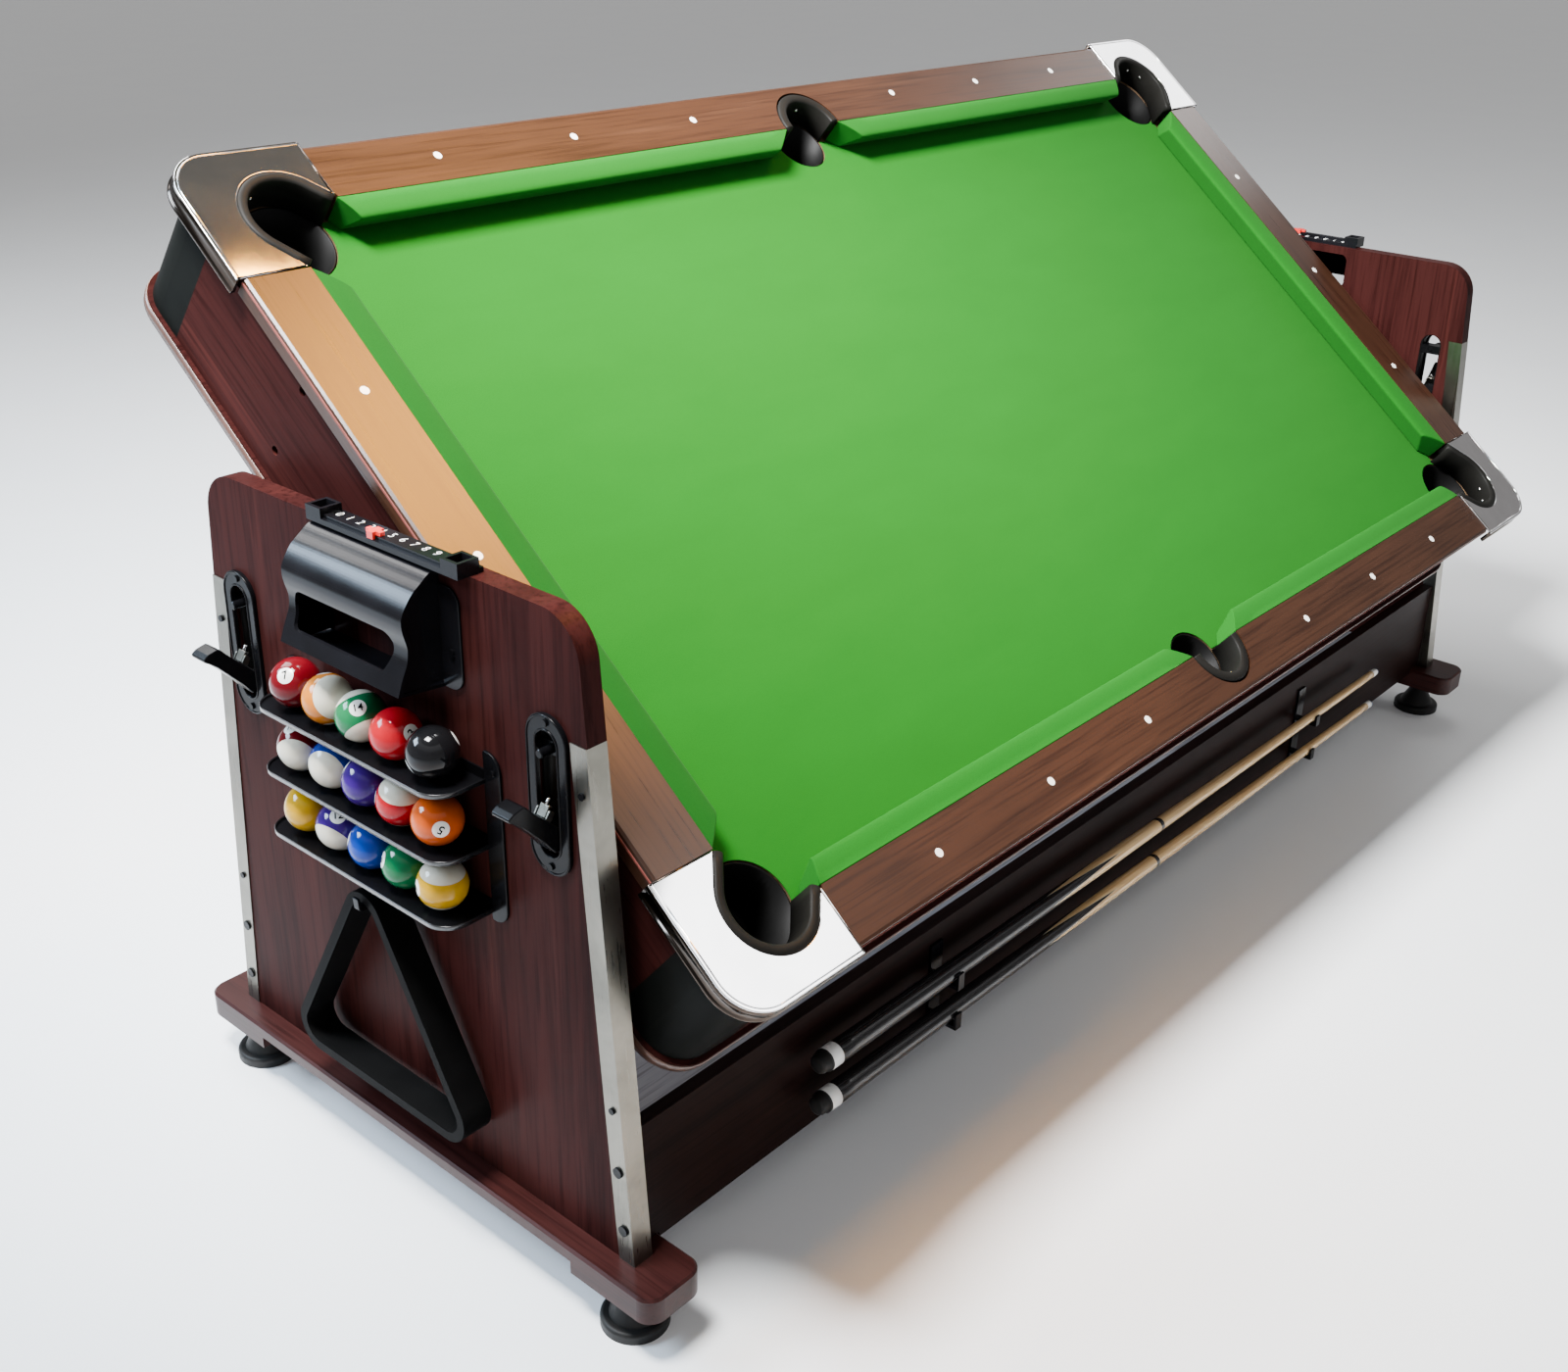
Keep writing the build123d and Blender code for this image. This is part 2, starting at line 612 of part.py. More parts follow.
def cue_brackets():
    """Two-hook wall brackets on the front stretcher board."""
    face = -BOARD_Y
    brackets = []
    for x in (-BRACKET_X, BRACKET_X):
        body = block(x - 12, x + 12, face, face - 4, 92, 232)
        for butt_z, tip_z in CUE_LINES:
            t = (x - CUE_X[0]) / (CUE_X[1] - CUE_X[0])
            z = butt_z + t * (tip_z - butt_z)
            r = cue_radius(t) + 0.5
            arm = block(x - 6, x + 6, face - 4, CUE_Y - r - 4, z - r - 6, z - r - 0.4)
            tip = block(x - 6, x + 6, CUE_Y - r - 4, CUE_Y - r - 0.2, z - r - 6, z + 4)
            body = body + arm + tip
        brackets.append(body)
    return group(brackets)


def cue_radius(t):
    """Cue radius along its length, 0 at the butt and 1 at the tip."""
    return 15.0 - 8.8 * t


def cue(line):
    """Tapered cue lying along X."""
    butt_z, tip_z = line
    start = Vector(CUE_X[0], CUE_Y, butt_z)
    end = Vector(CUE_X[1], CUE_Y, tip_z)
    axis = (end - start)
    plane = Plane(origin=start, z_dir=axis)
    body = plane * Cone(15.0, 6.2, axis.length, align=(Align.CENTER, Align.CENTER, Align.MIN))
    return body


def latch_plates():
    """Slotted latch plates, each with two hinge lugs and a bolt guide behind its slot."""
    plates = []
    x = PANEL_OUT
    lx, lz = LEVER_AT
    for s in (-1, 1):
        y = s * LATCH_Y
        plate = block(x, x + 4, y - 30, y + 30, 556, 738)
        plate = fillet(plate.edges().filter_by(Axis.X), 29)
        plate = plate - slot_cut(s, 15, 577, 720)
        for e in (-1, 1):
            plate = plate + block(x - 12, x + 1, y + e * 15, y + e * 18.7, lz - 9, lz + 9)
            plate = plate + block(x - 24, x + 1, y + e * 15, y + e * 18.7, LATCH_PIN_Z - 9, LATCH_PIN_Z + 6)
        guide = block(x - 24, x - 6, y - 17, y + 17, LATCH_PIN_Z - 9, LATCH_PIN_Z + 6)
        plate = plate + guide
        plate = plate - rod_y(y - 40, y + 40, lx, lz, 3.05)
        plate = plate - rod_x(PANEL_IN - 5, x + 30, y, LATCH_PIN_Z, 5.05)
        plates.append(plate)
    plates = group(plates)
    return group([plates, other_end(plates)])


def latch_lever(sx, sy):
    """Wedge-shaped handle on its hinge pin, leaning out while the latch is open."""
    lx, lz = LEVER_AT
    y = sy * LATCH_Y
    side = [(-8, 588), (8.5, 588), (21, 604), (36, 620), (50, 635), (60, 643), (66, 647), (66, 651), (60, 654.5),
            (47, 657), (36, 647), (25, 636.5), (12, 624.5), (2, 614), (-8, 606)]
    lever = prism_y([(PANEL_OUT + a, z) for a, z in side], y - 13.5, y + 13.5)
    lever = lever + rod_y(y - 18.5, y + 18.5, lx, lz, 3.0)
    return lever if sx > 0 else mirror_x(lever)


def latch_bolt(sx, sy):
    """Bolt in its guide, drawn clear of the table."""
    y = sy * LATCH_Y
    bolt = rod_x(PANEL_IN + 2, PANEL_OUT + 14, y, LATCH_PIN_Z, 5.0)
    bolt = chamfer(bolt.edges().filter_by(GeomType.CIRCLE), 1)
    return bolt if sx > 0 else mirror_x(bolt)


def pivot_bearings():
    """Plain bush set into each panel on the turning axis."""
    bush = rod_x(PANEL_IN - 2, PANEL_OUT - 4, 0, PIVOT_Z, 18) - rod_x(PANEL_IN - 10, PANEL_OUT, 0, PIVOT_Z, 12.05)
    return group([bush, mirror_x(bush)])


def levelling_foot(sx, sy):
    """Screw-in foot: disc, cone and stem."""
    x = sx * FOOT_AT[0]
    y = sy * FOOT_AT[1]
    disc = rod(x, y, 0, 14, FOOT_R)
    disc = fillet(disc.edges().sort_by(Axis.Z)[-1], 5)
    cone = Pos(x, y, 14) * Cone(30, 14, 30, align=(Align.CENTER, Align.CENTER, Align.MIN))
    return disc + cone + rod(x, y, 40, BEAM_UNDER + 20, 6.0)


def frame_screws():
    """Domed screws along the posts, on the goal-box ears, the ball rack and the latch plates."""
    heads = []

    def head(x, y, z, r):
        dome = rod_x(x, x + (2.4 if x > 0 else -2.4), y, z, r)
        heads.append(dome)

    for sx in (-1, 1):
        face = sx * (PANEL_OUT + 1.5)
        for sy in (-1, 1):
            for z, r in ((664, 4), (294, 4), (214, 6.5), (136, 6.5)):
                head(face, sy * (panel_half(z) - 12), z, r)
            for z in (729, 565):
                head(sx * (PANEL_OUT + 4), sy * LATCH_Y, z, 4)
        for y in (BOX_Y[0] - 13, BOX_Y[1] + 13):
            head(sx * (PANEL_OUT + 3), sx * y, 760, 4)
    for y, z in rack_screws():
        head(-PANEL_OUT - 4, y, z, 4)
    return group(heads)


def build_stand():
    panel = end_panel()
    save("end_panel_right", panel)
    save("end_panel_left", other_end(panel))
    save("end_posts", end_posts())
    save("base_beams", base_beams())
    save("stretcher_boards", group([stretcher_board(-1), stretcher_board(1)]))
    save("stretcher_shelf", stretcher_shelf())
    box = goal_box()
    save("goal_boxes", group([box, other_end(box)]))
    bar = Pos(0, SCORER_Y, 0) * scorer_bar()
    save("scorer_bars", group([bar, other_end(bar)]))
    save("scorer_slider_right", Pos(0, SCORER_Y, 0) * scorer_slider())
    save("scorer_slider_left", other_end(Pos(0, SCORER_Y - 15, 0) * scorer_slider()))
    save("ball_rack", ball_rack())
    save("cue_brackets", cue_brackets())
    save("latch_plates", latch_plates())
    save("pivot_bearings", pivot_bearings())
    save("frame_screws", frame_screws())


def build_moving():
    ends = {"left": -1, "right": 1}
    sides = {"front": -1, "back": 1}
    for end, sx in ends.items():
        for side, sy in sides.items():
            save(f"foot_{end}_{side}", levelling_foot(sx, sy))
            save(f"latch_lever_{end}_{side}", latch_lever(sx, sy))
            save(f"latch_bolt_{end}_{side}", latch_bolt(sx, sy))
    save("cue_upper", cue(CUE_LINES[0]))
    save("cue_lower", cue(CUE_LINES[1]))
    save("rack_triangle", rack_triangle())
    order = ((7, 13, 14, 3, 8), (15, 10, 4, 11, 5), (1, 12, 2, 6, 9))
    for row, z in zip(order, BALL_ROWS):
        for k, number in enumerate(row):
            y = RACK_Y + (2 - k) * BALL_PITCH
            save(f"ball_{number:02d}", Pos(BALL_X, y, z) * Sphere(BALL_D / 2))


build_table()
build_stand()
build_moving()
print(len(parts), "nodes")
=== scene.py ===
"""Looks for the flip-over games table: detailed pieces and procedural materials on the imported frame."""

import math

import bmesh
import bpy
from mathutils import Matrix, Vector


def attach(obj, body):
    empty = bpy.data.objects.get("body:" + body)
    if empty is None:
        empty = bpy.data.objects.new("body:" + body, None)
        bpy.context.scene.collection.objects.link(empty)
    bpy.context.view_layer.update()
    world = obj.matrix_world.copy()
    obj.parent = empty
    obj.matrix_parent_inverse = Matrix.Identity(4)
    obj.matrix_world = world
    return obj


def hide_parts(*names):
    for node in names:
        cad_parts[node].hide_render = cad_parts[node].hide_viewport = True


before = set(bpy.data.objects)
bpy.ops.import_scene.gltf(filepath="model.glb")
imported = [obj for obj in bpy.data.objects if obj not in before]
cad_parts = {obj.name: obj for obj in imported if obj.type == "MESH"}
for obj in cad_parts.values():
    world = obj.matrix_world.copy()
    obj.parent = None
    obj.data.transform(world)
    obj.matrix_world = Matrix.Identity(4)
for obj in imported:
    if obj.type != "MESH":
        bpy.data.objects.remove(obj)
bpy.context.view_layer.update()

TILT = math.radians(39.0)
PIVOT = Vector((0, 0, 0.751))
TABLE = Matrix.Translation(PIVOT) @ Matrix.Rotation(TILT, 4, "X")
UP = Vector((0, 0, 1))
BALL_R = 0.028575
PANEL_OUT = 1.076                   # outer face of each end panel, from the middle
RAIL_X, RAIL_Y = 1.0319, 0.5659     # outer faces of the end rails and the long rails
CORNER_POCKET = (0.918, 0.466)      # middle of the +X +Y corner pocket
SIDE_POCKET_Y = 0.490
LATCH_Y = 0.265


# ---------------------------------------------------------------- node helpers
def new_object(name, data):
    """An object holding data, linked to the scene."""
    obj = bpy.data.objects.new(name, data)
    bpy.context.scene.collection.objects.link(obj)
    return obj


def set_stops(node, stops):
    """Give a colour ramp its (position, colour) stops."""
    els = node.color_ramp.elements
    while len(els) < len(stops):
        els.new(0.5)
    for el, (pos, col) in zip(els, stops):
        el.position = pos
        el.color = (*col, 1)


class Mat:
    """A small builder for one Principled material."""

    def __init__(self, name, **sockets):
        self.mat = bpy.data.materials.new(name)
        self.mat.use_nodes = True
        self.tree = self.mat.node_tree
        self.bsdf = self.tree.nodes["Principled BSDF"]
        for key, value in sockets.items():
            self.bsdf.inputs[key.replace("_", " ")].default_value = value

    def node(self, kind, inputs=None, **props):
        n = self.tree.nodes.new(kind)
        for key, value in props.items():
            setattr(n, key, value)
        for key, value in (inputs or {}).items():
            self.feed(n, key, value)
        return n

    def feed(self, node, key, value):
        """Link an input to a socket, or set it to a plain value or a colour."""
        target = node.inputs[key]
        if isinstance(value, bpy.types.NodeSocket):
            self.tree.links.new(value, target)
        elif target.type == "RGBA":
            target.default_value = (*value, 1)
        else:
            target.default_value = value

    def link(self, out, name):
        self.tree.links.new(out, self.bsdf.inputs[name])

    def coords(self, tilted=False, scale=(1, 1, 1)):
        """Object coordinates, turned into the table's own frame where asked, then scaled."""
        out = self.node("ShaderNodeTexCoord").outputs["Object"]
        if tilted:
            out = self.node("ShaderNodeMapping", {"Vector": out, "Rotation": (-TILT, 0, 0)}).outputs[0]
        return self.node("ShaderNodeMapping", {"Vector": out, "Scale": scale}).outputs[0]

    def noise(self, vec, scale, detail=4.0, rough=0.55, distort=0.0):
        ins = {"Vector": vec, "Scale": scale, "Detail": detail, "Roughness": rough, "Distortion": distort}
        return self.node("ShaderNodeTexNoise", ins).outputs["Fac"]

    def ramp(self, fac, stops):
        n = self.node("ShaderNodeValToRGB", {"Fac": fac})
        set_stops(n, stops)
        return n.outputs["Color"]

    def mix(self, fac, a, b, mode="MIX"):
        n = self.node("ShaderNodeMix", data_type="RGBA", blend_type=mode)
        for idx, value in ((0, fac), (6, a), (7, b)):
            self.feed(n, idx, value)
        return n.outputs[2]

    def math(self, op, a, b=0.0, clamp=False):
        n = self.node("ShaderNodeMath", operation=op, use_clamp=clamp)
        for idx, value in ((0, a), (1, b)):
            self.feed(n, idx, value)
        return n.outputs[0]

    def span(self, fac, low, high):
        """Map 0..1 noise to a range."""
        return self.node("ShaderNodeMapRange", {"Value": fac, "To Min": low, "To Max": high}).outputs[0]

    def near(self, value, middle, width):
        """1 where value lies within width of middle, else 0."""
        return self.math("LESS_THAN", self.math("ABSOLUTE", self.math("SUBTRACT", value, middle)), width)

    def bump(self, height, strength, distance=0.001):
        ins = {"Height": height, "Strength": strength, "Distance": distance}
        self.link(self.node("ShaderNodeBump", ins).outputs[0], "Normal")


def scaled(color, factor):
    return tuple(min(1.0, c * factor) for c in color)


def wood(name, dark, mid, light, along, tilted=False, rough=(0.28, 0.42), coat=0.0, streak=26.0, gloss=0.015):
    """Lacquered wood-print laminate: long streaks, fine pores and slow tone changes."""
    m = Mat(name, Coat_Weight=coat, Coat_Roughness=0.14, Specular_IOR_Level=gloss)
    scale = [streak, streak, streak]
    scale["XYZ".index(along)] = 1.1
    fine = [streak * 8, streak * 8, streak * 8]
    fine["XYZ".index(along)] = 6.0
    grain = m.noise(m.coords(tilted, scale), 1.0, 7.0, 0.62, 0.7)
    pores = m.noise(m.coords(tilted, fine), 1.0, 3.0, 0.6, 0.2)
    broad = m.noise(m.coords(tilted), 2.4, 3.0, 0.5, 0.4)
    base = m.ramp(grain, [(0.30, dark), (0.48, mid), (0.60, mid), (0.74, light)])
    shade = m.ramp(pores, [(0.34, (0.50, 0.46, 0.46)), (0.50, (1, 1, 1)), (0.72, (1.10, 1.06, 1.04))])
    tone = m.ramp(broad, [(0.30, (0.74, 0.72, 0.74)), (0.65, (1.18, 1.12, 1.08))])
    color = m.mix(0.75, base, shade, "MULTIPLY")
    color = m.mix(0.8, color, tone, "MULTIPLY")
    m.link(color, "Base Color")
    m.link(m.span(pores, *rough), "Roughness")
    m.bump(m.mix(0.5, m.ramp(grain, [(0, (0, 0, 0)), (1, (1, 1, 1))]),
                 m.ramp(pores, [(0.3, (0, 0, 0)), (0.6, (1, 1, 1))])), 0.18, 0.0004)
    return m.mat


def cloth(name, color, tilted=True):
    """Short-nap woven cloth: fine weave, nap mottling and a soft sheen."""
    m = Mat(name, Sheen_Weight=0.06, Sheen_Roughness=0.5, Specular_IOR_Level=0.05)
    m.bsdf.inputs["Sheen Tint"].default_value = (0.4, 0.95, 0.3, 1)
    base = m.coords(tilted)
    weave_a = m.node("ShaderNodeTexWave", {"Vector": base, "Scale": 260.0, "Distortion": 1.2, "Detail": 1.0},
                     bands_direction="X").outputs["Fac"]
    weave_b = m.node("ShaderNodeTexWave", {"Vector": base, "Scale": 260.0, "Distortion": 1.2, "Detail": 1.0},
                     bands_direction="Y").outputs["Fac"]
    weave = m.math("MULTIPLY", weave_a, weave_b)
    fuzz = m.noise(base, 900.0, 2.0)
    nap = m.noise(m.coords(tilted, (3.0, 9.0, 3.0)), 1.6, 5.0, 0.6, 0.3)
    tone = m.ramp(nap, [(0.30, scaled(color, 0.95)), (0.55, color), (0.75, scaled(color, 1.04))])
    grit = m.ramp(fuzz, [(0.30, (0.80, 0.82, 0.78)), (0.60, (1.06, 1.05, 1.06))])
    m.link(m.mix(0.8, tone, grit, "MULTIPLY"), "Base Color")
    m.link(m.span(fuzz, 0.78, 0.95), "Roughness")
    m.bump(m.math("ADD", m.math("MULTIPLY", weave, 0.5), m.math("MULTIPLY", fuzz, 0.6)), 0.30, 0.0004)
    return m.mat


def metal(name, color, rough, along=None, tilted=False, brushed=0.0, blotch=0.15):
    """Plated or satin metal with faint polish marks and tone changes."""
    m = Mat(name, Metallic=1.0)
    scale = [220.0, 220.0, 220.0]
    if along:
        scale["XYZ".index(along)] = 3.0
    lines = m.noise(m.coords(tilted, scale), 1.0, 3.0, 0.6)
    cloud = m.noise(m.coords(tilted), 9.0, 4.0, 0.6, 0.4)
    m.link(m.ramp(cloud, [(0.30, scaled(color, 1 - blotch)), (0.60, color)]), "Base Color")
    polish = m.span(lines, rough * 0.6, rough * 1.3)
    m.link(m.math("ADD", polish, m.span(cloud, -0.02, 0.05), clamp=True), "Roughness")
    m.bump(lines, brushed, 0.0002)
    return m.mat


def plastic(name, color, rough=(0.32, 0.45), grain=700.0, strength=0.12, coat=0.0, spread=0.25, gloss=0.5):
    """Moulded or painted surface with a fine leather-like grain."""
    m = Mat(name, Coat_Weight=coat, Coat_Roughness=0.2, Specular_IOR_Level=gloss)
    fine = m.noise(m.coords(), grain, 2.0)
    cloud = m.noise(m.coords(), 14.0, 4.0, 0.6)
    tone = m.ramp(cloud, [(0.3, scaled(color, 1 - spread)), (0.7, scaled(color, 1 + spread))])
    m.link(tone, "Base Color")
    m.link(m.span(m.math("MULTIPLY", m.math("ADD", fine, cloud), 0.5), *rough), "Roughness")
    m.bump(fine, strength, 0.0003)
    return m.mat


def ball_paint(number, color, band_axis):
    """Polished resin; numbers above eight are white with a coloured band."""
    m = Mat(f"ball_paint_{number:02d}", Specular_IOR_Level=0.3)
    m.bsdf.inputs["IOR"].default_value = 1.5
    cloud = m.noise(m.coords(), 60.0, 3.0)
    scuff = m.noise(m.coords(), 420.0, 3.0)
    paint = m.ramp(cloud, [(0.3, scaled(color, 0.93)), (0.7, scaled(color, 1.05))])
    if number > 8:
        ivory = m.ramp(cloud, [(0.3, (0.66, 0.61, 0.48)), (0.7, (0.74, 0.70, 0.58))])
        obj = m.node("ShaderNodeTexCoord").outputs["Object"]
        dot = m.node("ShaderNodeVectorMath", operation="DOT_PRODUCT")
        m.tree.links.new(obj, dot.inputs[0])
        dot.inputs[1].default_value = band_axis
        paint = m.mix(m.near(dot.outputs["Value"], 0.0, BALL_R * 0.53), ivory, paint)
    m.link(paint, "Base Color")
    m.link(m.span(scuff, 0.05, 0.12), "Roughness")
    m.bump(scuff, 0.01, 0.0001)
    return m.mat


def cue_wood():
    """Pale shaft with a long spliced black butt and a dark joint ring, in the cue's own frame."""
    m = Mat("cue_lacquer", Coat_Weight=0.15, Coat_Roughness=0.08, Specular_IOR_Level=0.3)
    obj = m.node("ShaderNodeTexCoord").outputs["Object"]
    xyz = m.node("ShaderNodeSeparateXYZ", {"Vector": obj})
    x, y, z = xyz.outputs
    grain = m.noise(m.coords(scale=(5, 260, 260)), 1.0, 5.0, 0.6, 0.3)
    pale = m.ramp(grain, [(0.30, (0.42, 0.24, 0.10)), (0.50, (0.60, 0.40, 0.19)), (0.70, (0.70, 0.51, 0.28))])
    black = m.ramp(grain, [(0.3, (0.006, 0.006, 0.007)), (0.7, (0.016, 0.014, 0.014))])
    turn = m.math("MULTIPLY", m.math("ARCTAN2", y, z), 4 / (2 * math.pi))
    saw = m.math("PINGPONG", m.math("ADD", turn, 8.0), 0.5)
    edge = m.math("ADD", m.math("MULTIPLY", saw, 0.36), 0.49)
    past = m.math("GREATER_THAN", x, edge)
    veneer = m.near(x, edge, 0.004)
    body = m.mix(past, black, pale)
    body = m.mix(veneer, body, (0.55, 0.52, 0.40))
    ring = m.near(x, 0.787, 0.0045)
    body = m.mix(ring, body, (0.01, 0.01, 0.01))
    m.link(body, "Base Color")
    m.link(m.span(grain, 0.18, 0.34), "Roughness")
    m.bump(grain, 0.04, 0.0002)
    return m.mat


def hockey_paint():
    """Slick white board with a fine grid of air holes, a centre line and a centre ring."""
    m = Mat("hockey_paint", Coat_Weight=0.6, Coat_Roughness=0.06)
    base = m.coords(True)
    # the mapping turns the tilt out, but the pivot's height is still in the coordinates
    shift = Matrix.Rotation(-TILT, 3, "X") @ -PIVOT
    local = m.node("ShaderNodeMapping", {"Vector": base, "Location": shift}).outputs[0]
    xyz = m.node("ShaderNodeSeparateXYZ", {"Vector": local})
    x, y, _z = xyz.outputs

    def cell(value):
        """Distance from the middle of the nearest cell of a 25 mm grid, as a share of the cell."""
        steps = m.math("MULTIPLY", m.math("ADD", value, 5.0), 40.0)
        return m.math("ABSOLUTE", m.math("SUBTRACT", m.math("FRACT", steps), 0.5))

    def length(a, b):
        return m.math("SQRT", m.math("ADD", m.math("POWER", a, 2.0), m.math("POWER", b, 2.0)))

    hole = m.math("LESS_THAN", length(cell(x), cell(y)), 0.045)
    ring = m.near(length(x, y), 0.15, 0.004)
    line = m.near(x, 0.0, 0.004)
    cloud = m.noise(base, 5.0, 3.0)
    white = m.ramp(cloud, [(0.3, (0.74, 0.76, 0.79)), (0.7, (0.84, 0.86, 0.88))])
    color = m.mix(m.math("MAXIMUM", ring, line), white, (0.50, 0.02, 0.02))
    color = m.mix(hole, color, (0.03, 0.03, 0.03))
    m.link(color, "Base Color")
    m.link(m.span(cloud, 0.12, 0.25), "Roughness")
    m.bump(m.math("SUBTRACT", 1.0, hole), 0.3, 0.0005)
    return m.mat


# ---------------------------------------------------------------- materials
RAIL_TONES = (0.018, 0.0070, 0.0036), (0.033, 0.0138, 0.0070), (0.050, 0.0225, 0.0118)
PANEL_TONES = (0.014, 0.0038, 0.0036), (0.028, 0.0078, 0.0070), (0.054, 0.0145, 0.0120)
BOARD_TONES = (0.004, 0.002, 0.002), (0.009, 0.004, 0.0035), (0.020, 0.008, 0.006)
# shelf tones: painted light, a light grey standing in for the glare and light falling on the shelf's top
SHELF_PAINTED_LIGHT_TONES = (0.125, 0.125, 0.135), (0.145, 0.145, 0.158), (0.165, 0.165, 0.178)
RAW_TONES = (0.05, 0.03, 0.02), (0.09, 0.06, 0.035), (0.13, 0.09, 0.05)
M = {
    "rail_x": wood("rail_wood_long", *RAIL_TONES, "X", True, gloss=0.20),
    "rail_y": wood("rail_wood_end", *RAIL_TONES, "Y", True, (0.24, 0.34), gloss=0.5),
    "apron_x": wood("apron_wood_long", *PANEL_TONES, "X", True),
    "apron_y": wood("apron_wood_end", *PANEL_TONES, "Y", True),
    "panel_z": wood("panel_wood", *PANEL_TONES, "Z", streak=20.0),
    "beam_y": wood("beam_wood", *PANEL_TONES, "Y", streak=30.0, gloss=0.15),
    "board_x": wood("stretcher_wood", *BOARD_TONES, "X", gloss=0.02),
    # stretcher shelf in the light grey: painted light
    "shelf": wood("shelf_grey_painted_light", *SHELF_PAINTED_LIGHT_TONES, "X", gloss=0.05),
    "raw": wood("raw_board", *RAW_TONES, "X", True, (0.6, 0.8)),
    "cloth": cloth("bed_green", (0.0052, 0.098, 0.0056)),
    "cushion": cloth("cushion_green", (0.0055, 0.094, 0.007)),
    # darker copy of the cushion cloth for the left end cushion: painted shade
    "cushion_end": cloth("cushion_end_green_painted_shade", (0.0045, 0.064, 0.006)),
    "chrome": metal("cap_chrome", (0.90, 0.90, 0.91), 0.05, tilted=True, blotch=0.12),
    # skirt chrome darkened far below the caps' chrome: painted dark reflection
    "skirt": metal("skirt_chrome", (0.060, 0.048, 0.040), 0.12, tilted=True, blotch=0.35),
    "alloy": metal("post_alloy", (0.190, 0.180, 0.152), 0.30, along="Z", brushed=0.08, blotch=0.40),
    "steel": metal("bright_steel", (0.62, 0.61, 0.59), 0.18, blotch=0.2),
    "black": plastic("black_moulding", (0.004, 0.004, 0.005), (0.15, 0.22), 900.0, 0.10, gloss=0.13),
    "enamel": plastic("lip_enamel", (0.008, 0.008, 0.009), (0.14, 0.22), 1200.0, 0.03, 0.1, 0.2, 0.35),
    "black_metal": plastic("black_enamel", (0.0025, 0.0025, 0.003), (0.18, 0.28), 1200.0, 0.05, gloss=0.10),
    "corner_black": plastic("corner_moulding", (0.004, 0.0045, 0.004), (0.38, 0.50), 800.0, gloss=0.03),
    "liner": plastic("liner_moulding", (0.0075, 0.0072, 0.0064), (0.40, 0.55), 600.0, 0.15, gloss=0.06),
    # near-black copy of the liner plastic for the cups and the slot sleeves: painted shade in the hollows
    "pit_shade": plastic("liner_cup", (0.002, 0.002, 0.002), (0.45, 0.60), 600.0, 0.15, gloss=0.1),
    "matt_black": plastic("triangle_moulding", (0.004, 0.004, 0.004), (0.40, 0.55), strength=0.08,
                          spread=0.2, gloss=0.015),
    "rubber": plastic("foot_rubber", (0.010, 0.0095, 0.009), (0.45, 0.60), 500.0, 0.2, gloss=0.2),
    "ivory": plastic("sight_ivory", (0.95, 0.93, 0.87), (0.15, 0.25), 300.0, 0.02, 0.2, 0.04),
    "white": plastic("white_print", (0.86, 0.86, 0.84), (0.30, 0.40), 500.0, 0.02, spread=0.05),
    "red": plastic("red_gloss", (0.70, 0.022, 0.018), (0.18, 0.28), 500.0, 0.03, 0.4, 0.12),
    # pinkish-red strip along the rails' top edges: painted highlight
    "painted_highlight_line": plastic("edge_painted_highlight", (0.20, 0.060, 0.050), (0.35, 0.50), 200.0, 0.03, gloss=0.08),
    "rim_band": plastic("rim_banding", (0.075, 0.035, 0.024), (0.28, 0.42), 60.0, 0.03, 0.1, 0.4),
    "tip": plastic("leather_tip", (0.07, 0.10, 0.16), (0.7, 0.9), 400.0, 0.3, spread=0.3, gloss=0.1),
    "hockey": hockey_paint(),
    "cue": cue_wood(),
}
CAD_LOOK = {
    "play_bed": "raw", "cross_beams": "raw", "hockey_field": "hockey", "hockey_rim": "apron_x",
    "long_rails": "rail_x", "end_rails": "rail_y", "long_aprons": "apron_x", "end_aprons": "apron_y",
    "apron_corners": "corner_black", "corner_caps": "chrome", "pocket_liners": "liner",
    "sights": "ivory", "pivot_shafts": "steel", "pivot_bearings": "steel",
    "end_panel_left": "panel_z", "end_panel_right": "panel_z", "end_posts": "alloy",
    "base_beams": "beam_y", "stretcher_boards": "board_x", "stretcher_shelf": "shelf",
    "scorer_bars": "black", "scorer_slider_left": "red", "scorer_slider_right": "red",
    "cue_brackets": "black", "latch_plates": "black_metal", "frame_screws": "black_metal",
    "rack_triangle": "matt_black", "ball_rack": "black", "goal_boxes": "black",
}
BEVELS = {
    "end_panel_left": 0.0015, "end_panel_right": 0.0015,
    "end_posts": 0.0007, "base_beams": 0.0015, "stretcher_boards": 0.0012, "scorer_bars": 0.0006,
    "latch_plates": 0.001, "rack_triangle": 0.0022, "cue_brackets": 0.0008, "apron_corners": 0.001,
    "hockey_rim": 0.002, "long_aprons": 0.0008, "end_aprons": 0.0008, "frame_screws": 0.001,
}


def add_bevel(obj, width, segments=3):
    mod = obj.modifiers.new("soft_edges", "BEVEL")
    mod.width = width
    mod.segments = segments
    mod.limit_method = "ANGLE"
    mod.angle_limit = math.radians(32)
    mod.harden_normals = True
    return mod


def dress_cad():
    """Give every carried-over CAD node its material and soft edges."""
    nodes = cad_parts
    look = dict(CAD_LOOK)
    for name in nodes:
        if name.startswith("foot_"):
            look[name] = "rubber"
        if name.startswith("latch_bolt"):
            look[name] = "black_metal"
    for name, key in look.items():
        obj = nodes[name]
        for k in range(len(obj.material_slots)):
            obj.material_slots[k].material = M[key]
        width = BEVELS.get(name, 0.0015 if name.startswith("foot_") else 0)
        if width:
            add_bevel(obj, width)


